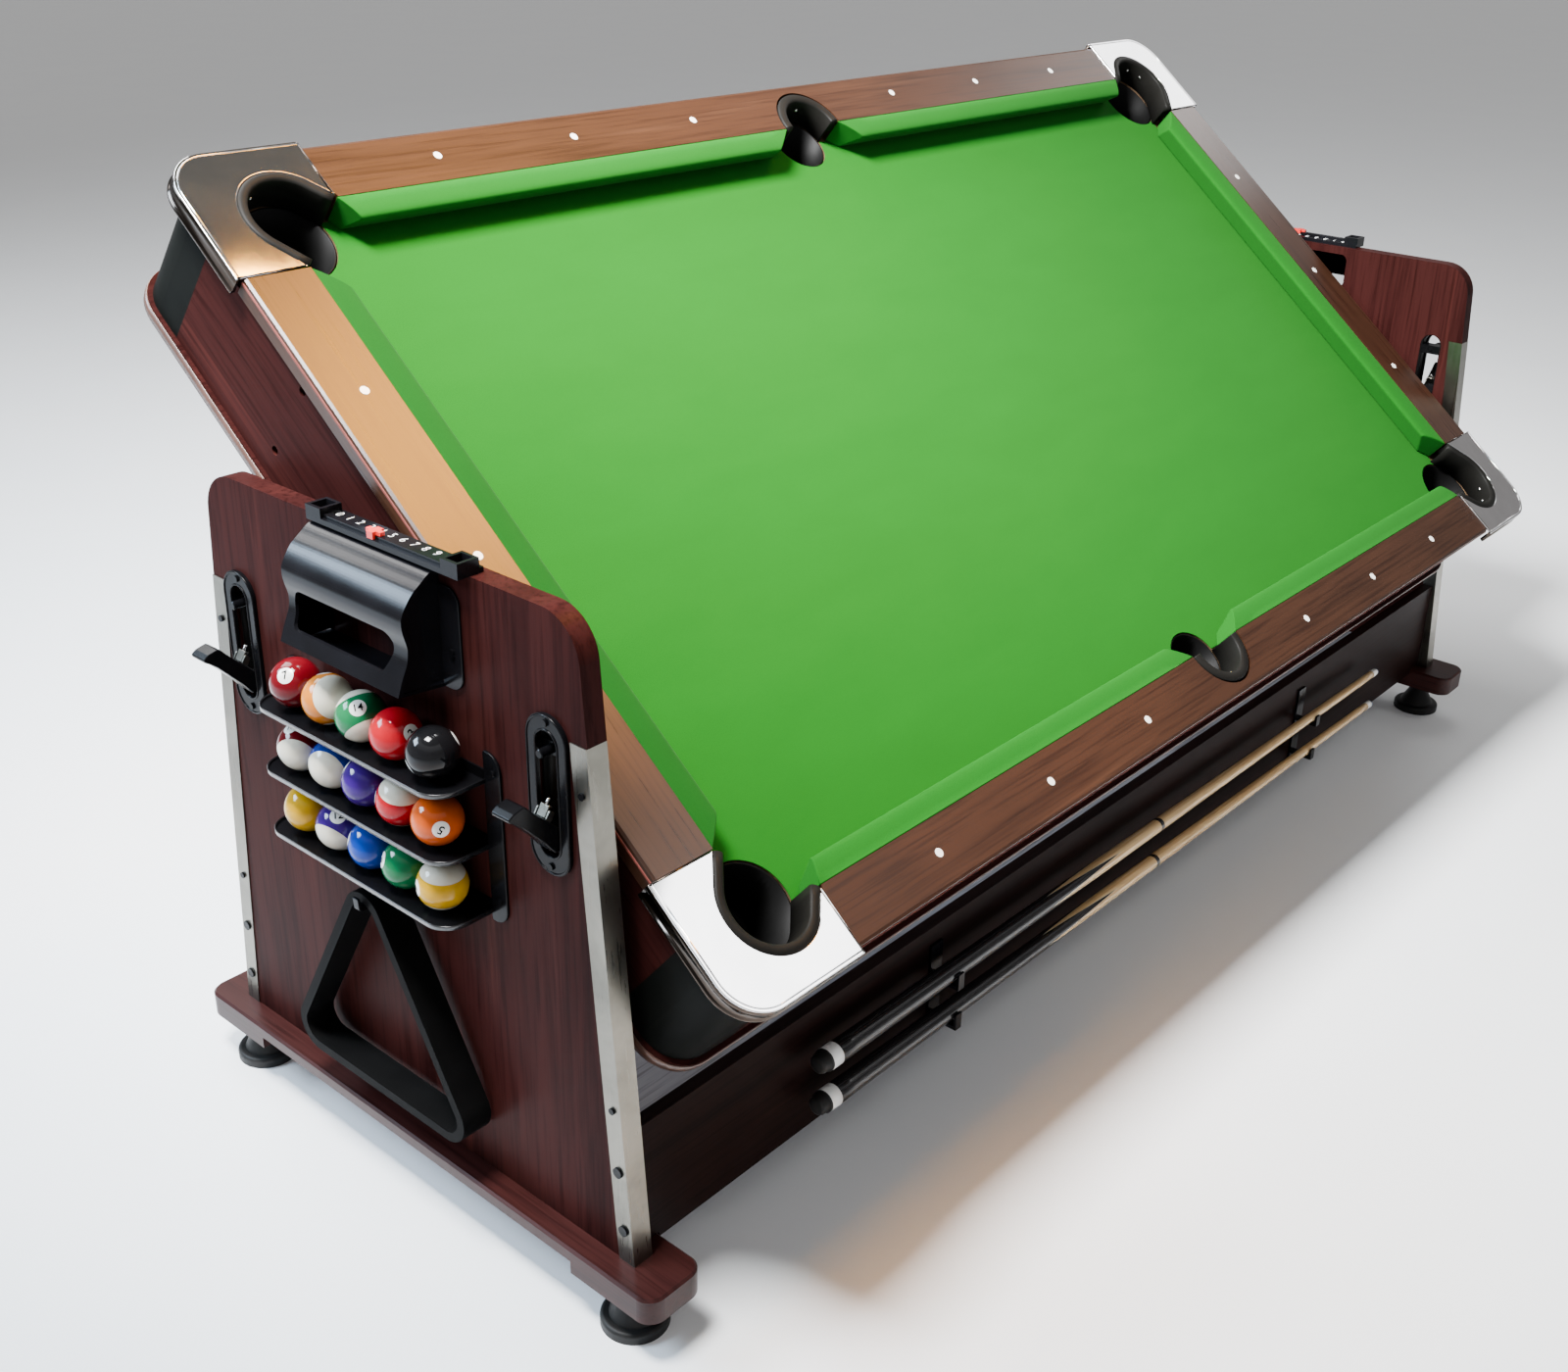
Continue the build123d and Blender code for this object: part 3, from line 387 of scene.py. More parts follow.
# ---------------------------------------------------------------- mesh helpers
def add_piece(name, mesh, mat, body, slot=None, matrix=None, smooth=True):
    obj = new_object(name, mesh)
    if not mesh.materials:
        mesh.materials.append(mat)
    if matrix is not None:
        obj.matrix_world = matrix
    if smooth:
        for poly in mesh.polygons:
            poly.use_smooth = True
    bpy.context.view_layer.update()
    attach(obj, body)
    return obj


def mesh_of(name, verts, faces):
    mesh = bpy.data.meshes.new(name)
    mesh.from_pydata([tuple(v) for v in verts], [], faces)
    mesh.validate()
    bm = bmesh.new()
    bm.from_mesh(mesh)
    bmesh.ops.recalc_face_normals(bm, faces=bm.faces)
    bm.to_mesh(mesh)
    bm.free()
    return mesh


def sweep(name, path, profile, up, closed=False, matrix=None):
    """Profile of (outward, upward) points carried along a flat path, mitred at its corners."""
    n = len(path)
    verts = []
    for i, p in enumerate(path):
        before = path[(i - 1) % n] if closed or i else path[i]
        after = path[(i + 1) % n] if closed or i < n - 1 else path[i]
        t1 = (p - before)
        t2 = (after - p)
        t1 = t1.normalized() if t1.length > 1e-9 else t2.normalized()
        t2 = t2.normalized() if t2.length > 1e-9 else t1
        side1, side2 = t1.cross(up), t2.cross(up)
        side = (side1 + side2).normalized()
        stretch = 1.0 / max(0.4, side.dot(side1))
        for out, rise in profile:
            verts.append(p + side * out * stretch + up * rise)
    k = len(profile)
    faces = []
    for i in range(n if closed else n - 1):
        a, b = i * k, ((i + 1) % n) * k
        for j in range(k):
            faces.append((a + j, a + (j + 1) % k, b + (j + 1) % k, b + j))
    if not closed:
        faces.append(tuple(range(k)))
        faces.append(tuple((n - 1) * k + j for j in range(k)))
    if matrix is not None:
        verts = [matrix @ v for v in verts]
    return mesh_of(name, verts, faces)


def arc(cx, cy, r, a0, a1, steps=10):
    """Points on a circle between two angles in degrees."""
    out = []
    for i in range(steps + 1):
        a = math.radians(a0 + (a1 - a0) * i / steps)
        out.append((cx + r * math.cos(a), cy + r * math.sin(a)))
    return out


def round_rect(half_x, half_y, r, steps=10):
    pts = arc(half_x - r, half_y - r, r, 0, 90, steps)
    pts += arc(-half_x + r, half_y - r, r, 90, 180, steps)
    pts += arc(-half_x + r, -half_y + r, r, 180, 270, steps)
    pts += arc(half_x - r, -half_y + r, r, 270, 360, steps)
    return pts


def prism(name, outline, depth, to_world):
    """Closed outline of 2-D points given a thickness; to_world places (a, b, depth)."""
    n = len(outline)
    verts = [to_world(a, b, 0.0) for a, b in outline] + [to_world(a, b, depth) for a, b in outline]
    faces = [tuple(range(n)), tuple(range(2 * n - 1, n - 1, -1))]
    for i in range(n):
        j = (i + 1) % n
        faces.append((i, j, n + j, n + i))
    return mesh_of(name, verts, faces)


def filleted(corners, radii, steps=7):
    """Closed 2-D outline with each corner rounded by its own radius."""
    out = []
    n = len(corners)
    for i, (p, r) in enumerate(zip(corners, radii)):
        p = Vector(p)
        a = (Vector(corners[i - 1]) - p).normalized()
        b = (Vector(corners[(i + 1) % n]) - p).normalized()
        if r <= 0:
            out.append((p.x, p.y))
            continue
        half = math.acos(max(-1, min(1, a.dot(b)))) / 2
        reach = r / math.tan(half)
        mid = p + (a + b).normalized() * (r / math.sin(half))
        start, end = p + a * reach - mid, p + b * reach - mid
        for k in range(steps + 1):
            v = start.lerp(end, k / steps).normalized() * r
            out.append((mid.x + v.x, mid.y + v.y))
    return out


def cut_mesh(mesh, cutter):
    """Boolean difference of two closed meshes, as a new mesh."""
    holders = [new_object("cutting", part) for part in (mesh, cutter)]
    mod = holders[0].modifiers.new("cut", "BOOLEAN")
    mod.operation = "DIFFERENCE"
    mod.object = holders[1]
    mod.solver = "EXACT"
    bpy.context.view_layer.update()
    deps = bpy.context.evaluated_depsgraph_get()
    done = bpy.data.meshes.new_from_object(holders[0].evaluated_get(deps))
    for obj in holders:
        bpy.data.objects.remove(obj)
    return done


def lathe(name, rings, steps=64):
    """Closed solid turned about X from (x, radius) rings."""
    verts = []
    for x, r in rings:
        for k in range(steps):
            a = 2 * math.pi * k / steps
            verts.append((x, r * math.sin(a), r * math.cos(a)))
    faces = []
    for i in range(len(rings) - 1):
        for k in range(steps):
            j = (k + 1) % steps
            faces.append((i * steps + k, i * steps + j, (i + 1) * steps + j, (i + 1) * steps + k))
    faces.append(tuple(range(steps)))
    faces.append(tuple((len(rings) - 1) * steps + k for k in range(steps)))
    return mesh_of(name, verts, faces)


def text_mesh(name, text, size, thickness=0.0, thinned=0.0):
    """Digits as a mesh; thinned is the share of the size taken off the strokes, or added below zero."""
    curve = bpy.data.curves.new(name, "FONT")
    curve.body = text
    curve.size = size
    curve.align_x = "CENTER"
    curve.align_y = "CENTER"
    curve.extrude = thickness
    curve.offset = -thinned * size
    curve.resolution_u = 6
    holder = new_object(name, curve)
    bpy.context.view_layer.update()
    deps = bpy.context.evaluated_depsgraph_get()
    mesh = bpy.data.meshes.new_from_object(holder.evaluated_get(deps))
    bpy.data.objects.remove(holder)
    mesh.materials.clear()
    return mesh
def slab(name, outline, depth, to_world, look, body, slot, bevel=0.0, segments=3):
    """A prism as a flat-shaded piece, with soft edges where a bevel width is given."""
    piece = add_piece(name, prism(name, outline, depth, to_world), M[look], body, slot, smooth=False)
    if bevel:
        add_bevel(piece, bevel, segments)
    return piece


def table_trim(name, path, profile, look, slot, closed=False, smooth=True):
    """A profile swept along a path in the table's own frame, as a piece that rides on the table."""
    mesh = sweep(name, path, profile, UP, closed, TABLE)
    return add_piece(name, mesh, M[look], "table", slot, smooth=smooth)


# ---------------------------------------------------------------- camera and light
CAM_AT = Vector((-2.0744, -1.4290, 1.5093))
CAM_YAW, CAM_PITCH, CAM_ROLL = (math.radians(v) for v in (-49.24, 25.90, 1.22))
SENSOR_WIDTH, LENS = 36.0, 40.08825


def camera_axes():
    """Forward, right and up of the camera, from its yaw, pitch and roll."""
    level = math.cos(CAM_PITCH)
    forward = Vector((-math.sin(CAM_YAW) * level, math.cos(CAM_YAW) * level, -math.sin(CAM_PITCH)))
    right = Vector((math.cos(CAM_YAW), math.sin(CAM_YAW), 0))
    up = right.cross(forward)
    turned_right = right * math.cos(CAM_ROLL) + up * math.sin(CAM_ROLL)
    turned_up = up * math.cos(CAM_ROLL) - right * math.sin(CAM_ROLL)
    return forward, turned_right, turned_up


CAM_F, CAM_R, CAM_U = camera_axes()


def add_camera():
    cam = bpy.data.cameras.new("camera")
    cam.sensor_width = SENSOR_WIDTH
    cam.lens = LENS
    cam.clip_end = 100
    obj = new_object("camera", cam)
    rot = Matrix((CAM_R, CAM_U, -CAM_F)).transposed().to_4x4()
    obj.matrix_world = Matrix.Translation(CAM_AT) @ rot
    bpy.context.scene.camera = obj


def area_light(name, at, target, size, power, size_y=None, spread=180.0, color=(1, 1, 1)):
    light = bpy.data.lights.new(name, "AREA")
    light.energy = power
    light.color = color
    light.spread = math.radians(spread)
    light.size = size
    if size_y:
        light.shape = "RECTANGLE"
        light.size_y = size_y
    obj = new_object(name, light)
    obj.location = at
    obj.rotation_euler = (Vector(target) - Vector(at)).to_track_quat("-Z", "Y").to_euler()


def add_world():
    """Studio surroundings whose brightness changes with height."""
    world = bpy.data.worlds.new("studio")
    bpy.context.scene.world = world
    world.use_nodes = True
    nt = world.node_tree
    geo = nt.nodes.new("ShaderNodeTexCoord")
    sep = nt.nodes.new("ShaderNodeSeparateXYZ")
    ramp = nt.nodes.new("ShaderNodeValToRGB")
    nt.links.new(geo.outputs["Generated"], sep.inputs[0])
    nt.links.new(sep.outputs["Z"], ramp.inputs["Fac"])
    nt.links.new(ramp.outputs["Color"], nt.nodes["Background"].inputs["Color"])
    stops = [(0.0, (0.50, 0.50, 0.51)), (0.30, (0.26, 0.25, 0.25)), (0.46, (0.30, 0.29, 0.28)),
             (0.52, (0.62, 0.62, 0.64)), (0.76, (1.1, 1.1, 1.1)), (0.80, (0.15, 0.14, 0.125)),
             (1.0, (0.19, 0.18, 0.16))]
    set_stops(ramp, stops)
    nt.nodes["Background"].inputs["Strength"].default_value = 0.95


def add_floor():
    mesh = mesh_of("floor", [(-40, -40, 0), (40, -40, 0), (40, 40, 0), (-40, 40, 0)], [(0, 1, 2, 3)])
    floor = new_object("floor", mesh)
    pale = Mat("floor_pale", Roughness=0.75)
    speck = pale.noise(pale.coords(), 3.0, 3.0)
    pale.link(pale.ramp(speck, [(0.3, (0.92, 0.935, 0.95)), (0.7, (0.94, 0.955, 0.965))]), "Base Color")
    mesh.materials.append(pale.mat)


def add_lights():
    area_light("glare", (0.50, -0.35, 3.0), (-0.99, 0.0, 0.85), 0.9, 12, 0.9, 58, (1.0, 0.42, 0.05))
    area_light("window", (-2.75, 2.15, 2.45), (-1.08, 0, 0.62), 1.6, 210, 0.9, color=(0.62, 0.80, 1.0))
    area_light("main", (-1.6, 0.05, 3.1), (0.12, 0.16, 0.95), 0.8, 150, spread=84)
    area_light("corner", (1.45, -2.15, 3.05), (-0.9, -0.4, 0.5), 0.7, 9)
    area_light("far_cap", (2.71, 0.36, 2.18), (1.0, 0.36, 1.15), 0.8, 9)
    area_light("back_top", (-0.6, 2.7, 3.9), (0.0, -0.8, 0.0), 2.4, 300)


# ---------------------------------------------------------------- table body pieces
def ring_outline(half_x, half_y, corner, corner_r, side_y, side_r):
    """Rectangle whose corners and long sides are bitten by the pocket circles, as 2-D points."""
    px, py = corner
    pts = []

    def bite(cx, cy, r, start, end):
        """Arc inside the rectangle from start to end, going round the pocket's inner side."""
        a0 = math.atan2(start[1] - cy, start[0] - cx)
        a1 = math.atan2(end[1] - cy, end[0] - cx)
        if a1 > a0:
            a1 -= 2 * math.pi
        steps = 28
        return [(cx + r * math.cos(a0 + (a1 - a0) * i / steps), cy + r * math.sin(a0 + (a1 - a0) * i / steps))
                for i in range(steps + 1)]

    dy = math.sqrt(max(0, corner_r ** 2 - (half_y - py) ** 2))
    dx = math.sqrt(max(0, corner_r ** 2 - (half_x - px) ** 2))
    ds = math.sqrt(max(0, side_r ** 2 - (half_y - side_y) ** 2))
    # walk anticlockwise from the lower side pocket
    pts += bite(0, -side_y, side_r, (-ds, -half_y), (ds, -half_y))
    pts += bite(px, -py, corner_r, (px - dy, -half_y), (half_x, -py + dx))
    pts += bite(px, py, corner_r, (half_x, py - dx), (px - dy, half_y))
    pts += bite(0, side_y, side_r, (ds, half_y), (-ds, half_y))
    pts += bite(-px, py, corner_r, (-px + dy, half_y), (-half_x, py - dx))
    pts += bite(-px, -py, corner_r, (-half_x, -py + dx), (-px + dy, -half_y))
    return pts


def bed_cloth():
    half_x, half_y = 0.9435, 0.4865
    pts = ring_outline(half_x, half_y, CORNER_POCKET, 0.0575, SIDE_POCKET_Y, 0.0465)
    mesh = prism("bed_cloth_sheet", pts, 0.0011, lambda a, b, d: Vector((a, b, 0.0432 + d)))
    mesh.transform(TABLE)
    obj = add_piece("bed_cloth_sheet", mesh, M["cloth"], "table", "green_cloth", smooth=False)
    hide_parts("bed_cloth")


def cushion_profile(depth):
    """(distance behind the nose, height) round a rubber cushion's covered section."""
    back = [(depth, 0.0453), (depth, 0.0853)]
    crown = [(0.030, 0.0853), (0.020, 0.0847), (0.012, 0.0836), (0.006, 0.0822), (0.0025, 0.0808)]
    nose = [(0.0006, 0.0790), (0.0, 0.0768), (0.0006, 0.0747), (0.0022, 0.0720)]
    return back + crown + nose + [(0.0085, 0.0600), (0.0155, 0.0453)]


def cushion(name, start, end, nose_dir, depth, cut0, cut1):
    """Cushion between two points on its back line; cut0 and cut1 skew its ends toward the nose."""
    along = (end - start).normalized()
    prof = cushion_profile(depth)
    verts = []
    rows = 26
    for i in range(rows + 1):
        t = i / rows
        for back, h in prof:
            reach = depth - back
            a = cut0 * reach / depth
            b = (end - start).length - cut1 * reach / depth
            p = start + along * (a + (b - a) * t) + nose_dir * reach
            verts.append(Vector((p.x, p.y, h)))
    k = len(prof)
    faces = [tuple(range(k)), tuple(rows * k + j for j in range(k))]
    for i in range(rows):
        for j in range(k):
            faces.append((i * k + j, i * k + (j + 1) % k, (i + 1) * k + (j + 1) % k, (i + 1) * k + j))
    mesh = mesh_of(name, verts, faces)
    mesh.transform(TABLE)
    # the left end cushion takes the darker copy of the cloth: painted shade
    look = M["cushion_end"] if nose_dir.x > 0.5 else M["cushion"]
    obj = add_piece(name, mesh, look, "table", "green_cushion")
    bev = add_bevel(obj, 0.0022, 3)
    bev.angle_limit = math.radians(40)
    return obj


def cushions():
    for sy in (-1, 1):
        for sx in (-1, 1):
            name = f"cushion_long_{'ab'[sx > 0]}{'ab'[sy > 0]}"
            inner, outer = (Vector((sx * x, sy * 0.4878, 0)) for x in (0.0585, 0.8535))
            cushion(name, inner, outer, Vector((0, -sy, 0)), 0.0313, 0.036, 0.018)
    for sx in (-1, 1):
        low, high = (Vector((sx * 0.9448, y, 0)) for y in (-0.3985, 0.3985))
        cushion(f"cushion_end_{'ab'[sx > 0]}", low, high, Vector((-sx, 0, 0)), 0.0378, 0.034, 0.034)
    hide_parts("cushions")


def edge_lines():
    """Painted highlight line along the top edge of each rail's outer face, and banding round the reverse rim.
    """
    line = [(-0.0006, -0.0012), (0.0007, -0.0012), (0.0007, 0.0014), (-0.0006, 0.0014)]
    ends = [((s * RAIL_X, -s * 0.3975), (s * RAIL_X, s * 0.3975)) for s in (-1, 1)]
    ends += [((s * 0.855, s * RAIL_Y), (-s * 0.855, s * RAIL_Y)) for s in (-1, 1)]
    for k, pair in enumerate(ends):
        path = [Vector((x, y, 0.0800)) for x, y in pair]
        table_trim(f"edge_line_{k}", path, line, "painted_highlight_line", "mahogany_rail", smooth=False)
    outline = [Vector((x, y, -0.101)) for x, y in round_rect(1.0322, 0.5662, 0.059, 14)]
    band = [(-0.0005, -0.0070), (0.0012, -0.0062), (0.0018, 0.0), (0.0012, 0.0062), (-0.0005, 0.0070)]
    table_trim("rim_band", outline, band, "rim_band", "mahogany_dark", closed=True)


LIP_MID = Vector((0.9235, 0.4720, 0))
LIP_R = 0.0568


def corner_lip_path(steps=26):
    """Middle line of the +X +Y pocket's U-shaped lip, from the end rail round to the long rail."""
    ends = (Vector((0.9425, 0.4035, 0)), Vector((0.8600, 0.4860, 0)))
    a0, a1 = math.radians(-38), math.radians(133)
    mid = [LIP_MID + Vector((math.cos(a), math.sin(a), 0)) * LIP_R
           for a in [a0 + (a1 - a0) * i / steps for i in range(steps + 1)]]
    first = [ends[0].lerp(mid[0], k / 3) for k in range(3)]
    last = [mid[-1].lerp(ends[1], k / 3) for k in range(1, 4)]
    return first + mid + last


def corner_copies():
    return [(sx, sy) for sx in (-1, 1) for sy in (-1, 1)]


def flip(points, sx, sy):
    """Points of the +X +Y corner carried to another corner, keeping the same winding."""
    out = [Vector((sx * p.x, sy * p.y, p.z)) for p in points]
    if sx * sy < 0:
        out.reverse()
    return out


def round_bead(radius, rise=0.0, height=None):
    """Eight points round a bead's section; height flattens it into an ellipse."""
    tall = height or radius
    return [(radius * math.cos(t), rise + tall * math.sin(t)) for t in [math.pi * i / 4 for i in range(8)]]


def cap_edge(inset, cx, cy, r):
    """A cap's outer edge from the end rail round to the long rail, as points in the table's plane."""
    edge = [(1.0405 - inset[0], 0.3985 + inset[1])] + arc(cx, cy, r, 0, 90, 16)
    return [Vector((x, y, 0)) for x, y in edge + [(0.8565 + inset[1], 0.5735 - inset[0])]]


def corner_caps():
    """Bright corner caps: plate cut round the pocket lip, raised edge beads, and a rolled skirt."""
    rim = cap_edge((0, 0), 0.9845, 0.5175, 0.0560)
    inset = cap_edge((0.0040, 0.0015), 0.9840, 0.5170, 0.0525)
    bead = round_bead(0.0010, 0.0869, 0.0008)
    roll = [(-0.0030, 0.0648), (0.0006, 0.0640), (0.0020, 0.0650), (0.0024, 0.0668), (0.0020, 0.0688),
            (0.0006, 0.0699), (0.0001, 0.0712), (0.0001, 0.0785), (0.0007, 0.0796), (0.0009, 0.0812),
            (0.0006, 0.0828), (0.0001, 0.0842), (-0.0008, 0.0858), (-0.0026, 0.0868),
            (-0.0046, 0.0869), (-0.0046, 0.0648)]
    by_end = [Vector((1.0395, 0.4000, 0)), Vector((0.9510, 0.4000, 0))]
    by_side = [Vector((0.8580, 0.4930, 0)), Vector((0.8580, 0.5725, 0))]
    lip_line = corner_lip_path()
    hole = []
    for i, p in enumerate(lip_line):
        ahead = lip_line[min(i + 1, len(lip_line) - 1)] - lip_line[max(i - 1, 0)]
        hole.append(p + ahead.cross(UP).normalized() * 0.0066)
    outline = [(p.x, p.y) for p in rim + hole[::-1]]
    # the skirt and the end and side beads take the darkened chrome: painted dark reflection
    trims = (("skirt_{}", rim, roll, "skirt"), ("bead_{}a", by_end, bead, "skirt"),
             ("bead_{}b", by_side, bead, "skirt"), ("bead_{}c", inset, bead, "chrome"))
    tops = []
    for k, (sx, sy) in enumerate(corner_copies()):
        plate = prism(f"cap_plate_{k}", outline, 0.0026, lambda a, b, d: Vector((sx * a, sy * b, 0.0844 + d)))
        plate.transform(TABLE)
        tops.append(add_piece(f"cap_plate_{k}", plate, M["chrome"], "table", "chrome", smooth=False))
        add_bevel(tops[-1], 0.0009, 3)
        for tag, line, profile, look in trims:
            table_trim("cap_" + tag.format(k), flip(line, sx, sy), profile, look, "chrome")
    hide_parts("corner_caps")


def cup(name, cx, cy, r):
    """Open moulded cup with a rounded floor, in the table's frame."""
    rings = [(0.0420, r), (-0.036, r), (-0.041, r - 0.002), (-0.0435, r - 0.007), (-0.0435, 0.001),
             (-0.0450, 0.001), (-0.0450, r - 0.004), (-0.040, r + 0.0022), (0.0420, r + 0.0022)]
    steps = 56
    verts = [(cx + q * math.cos(2 * math.pi * k / steps), cy + q * math.sin(2 * math.pi * k / steps), w)
             for w, q in rings for k in range(steps)]
    faces = []
    n = len(rings)
    for i in range(n):
        j = (i + 1) % n
        if i == 4:      # the floor's inner and outer rings are capped below instead of joined
            continue
        for k in range(steps):
            m = (k + 1) % steps
            faces.append((i * steps + k, i * steps + m, j * steps + m, j * steps + k))
    faces.append(tuple(4 * steps + k for k in range(steps)))
    faces.append(tuple(5 * steps + k for k in range(steps)))
    mesh = mesh_of(name, verts, faces)
    mesh.transform(TABLE)
    # the cup takes the near-black copy of the liner plastic: painted shade inside the pocket
    return add_piece(name, mesh, M["pit_shade"], "table", "liner_plastic")


def lip_profile(half, top):
    """(outward, upward) section of a liner's lip: a rounded crown and a wall that hangs inside."""
    angles = [math.radians(a) for a in (0, 25, 50, 72, 90, 108, 130, 155, 180)]
    crown = [(half * math.cos(t), top - 0.004 + 0.004 * math.sin(t)) for t in angles]
    return [(half, 0.0640)] + crown + [(-half, 0.0440), (-half + 0.0022, 0.0440), (-half + 0.0022, 0.0640)]


def pocket_liners():
    """Moulded liners: U-shaped lip with a rounded crown, its wall, and the cup below."""
    for k, (sx, sy) in enumerate(corner_copies()):
        line = flip(corner_lip_path(), sx, sy)
        profile = lip_profile(0.0064, 0.0886)
        table_trim(f"liner_lip_{k}", line, profile, "liner", "liner_plastic")
        cup(f"liner_cup_{k}", sx * CORNER_POCKET[0], sy * CORNER_POCKET[1], 0.0540)
    for k, sy in enumerate((-1, 1)):
        bend = [(0.0510, 0.4885)] + arc(0, SIDE_POCKET_Y, 0.0510, 0, 180, 26) + [(-0.0510, 0.4885)]
        line = flip([Vector((x, y, 0)) for x, y in bend], 1, sy)
        table_trim(f"side_lip_{k}", line, lip_profile(0.0075, 0.0880), "liner", "liner_plastic")
        cup(f"side_cup_{k}", 0, sy * SIDE_POCKET_Y, 0.0430)
    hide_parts("pocket_liners")


def pocket_screws():
    """Two small screws in the back wall of every pocket lip."""
    spots = [(sx * LIP_MID.x, sy * LIP_MID.y, 0.0503) for sx, sy in corner_copies()]
    spots += [(0, SIDE_POCKET_Y, 0.0434), (0, -SIDE_POCKET_Y, 0.0434)]
    head = [(-0.001, 0.0030), (0.0004, 0.0030), (0.0011, 0.0022), (0.0014, 0.0010)]
    for i, (cx, cy, r) in enumerate(spots):
        middle = math.atan2(math.copysign(1, cy), math.copysign(1, cx) if cx else 0)
        for j, turn in enumerate((-0.28, 0.28)):
            a = middle + turn
            at = Vector((cx + r * math.cos(a), cy + r * math.sin(a), 0.068))
            aim = Vector((-math.cos(a), -math.sin(a), 0))
            rot = aim.to_track_quat("X", "Z").to_matrix().to_4x4()
            name = f"pocket_screw_{2 * i + j}"
            mesh = lathe(name, head, 24)
            mesh.transform(TABLE @ Matrix.Translation(at) @ rot)
            add_piece(name, mesh, M["steel"], "table", "steel")


# ---------------------------------------------------------------- end fittings
def smooth_path(points, per=6):
    """Catmull-Rom points through 2-D control points."""
    out = []
    n = len(points)
    for i in range(n - 1):
        p0 = points[max(0, i - 1)]
        p1, p2 = points[i], points[i + 1]
        p3 = points[min(n - 1, i + 2)]
        for s in range(per):
            t = s / per
            q = []
            for a, b, c, d in zip(p0, p1, p2, p3):
                bend = (2 * a - 5 * b + 4 * c - d) * t * t
                twist = (3 * b - a - 3 * c + d) * t ** 3
                q.append(0.5 * (2 * b + (c - a) * t + bend + twist))
            out.append(tuple(q))
    out.append(points[-1])
    return out


BOX_SKIN = [(0.0, 0.8490), (0.014, 0.8470), (0.026, 0.8390), (0.038, 0.8300), (0.047, 0.8190),
            (0.0525, 0.8090), (0.0535, 0.8000), (0.052, 0.7900), (0.049, 0.7790), (0.048, 0.7710),
            (0.050, 0.7580), (0.057, 0.7430), (0.064, 0.7250)]


def goal_box(turn, name):
    """Moulded catch box: curved front sheet with a flared window, inset cheeks, floor and eared flange."""
    def place(a, b, d):
        # a outward from the panel, b up, d along the panel; turned half round for the +X end
        return turn @ Vector((-(PANEL_OUT + a), d, b))

    def part(tag, outline, depth, to_world, bevel=0.0):
        slab(f"{name}_{tag}", outline, depth, to_world, "black", "stand", "black_plastic", bevel)

    outer = smooth_path(BOX_SKIN, 5)
    inner = []
    for i, (a, b) in enumerate(outer):
        p, q = outer[max(0, i - 1)], outer[min(len(outer) - 1, i + 1)]
        t = Vector((q[0] - p[0], q[1] - p[1])).normalized()
        inner.append((max(0.0, a + t.y * 0.0040), b - t.x * 0.0040))
    sheet = prism(name, outer + list(reversed(inner)), 0.203, lambda a, b, d: place(a, b, -0.113 + d))
    window = filleted([(0.073, 0.7415), (-0.081, 0.7415), (-0.099, 0.7850), (0.083, 0.7850)],
                      [0.008, 0.010, 0.016, 0.016])
    cutter = prism("window", window, 0.09, lambda a, b, d: place(0.015 + d, b, a))
    skin = add_piece(name, cut_mesh(sheet, cutter), M["black"], "stand", "black_plastic", smooth=False)
    add_bevel(skin, 0.0012, 3)
    cheek = [(max(0.0, a - 0.0030), b) for a, b in inner] + [(0.0, inner[-1][1])]
    for tag, y in (("a", -0.1085), ("b", 0.0825)):
        part(f"cheek_{tag}", cheek, 0.0030, lambda a, b, d: place(a, b, y + d))
    floor = [(0.0, 0.7160), (0.0605, 0.7225), (0.0600, 0.7262), (0.0, 0.7200)]
    part("floor", floor, 0.196, lambda a, b, d: place(a, b, -0.1095 + d))
    for tag, sign, edge in (("a", -1, -0.108), ("b", 1, 0.085)):
        far = edge + sign * 0.032
        ear = filleted([(edge, 0.7165), (far, 0.7165), (far, 0.8315), (edge, 0.8315)], [0, 0.018, 0.018, 0])
        part(f"ear_{tag}", ear, 0.0030, lambda a, b, d: place(d, b, a), 0.0011)
    return skin


def goal_boxes():
    left = goal_box(Matrix.Identity(3), "catch_box_left")
    goal_box(Matrix.Rotation(math.pi, 3, "Z"), "catch_box_right")
    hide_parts("goal_boxes")


RACK_Y = -0.002
ROWS = (0.656, 0.5765, 0.497)


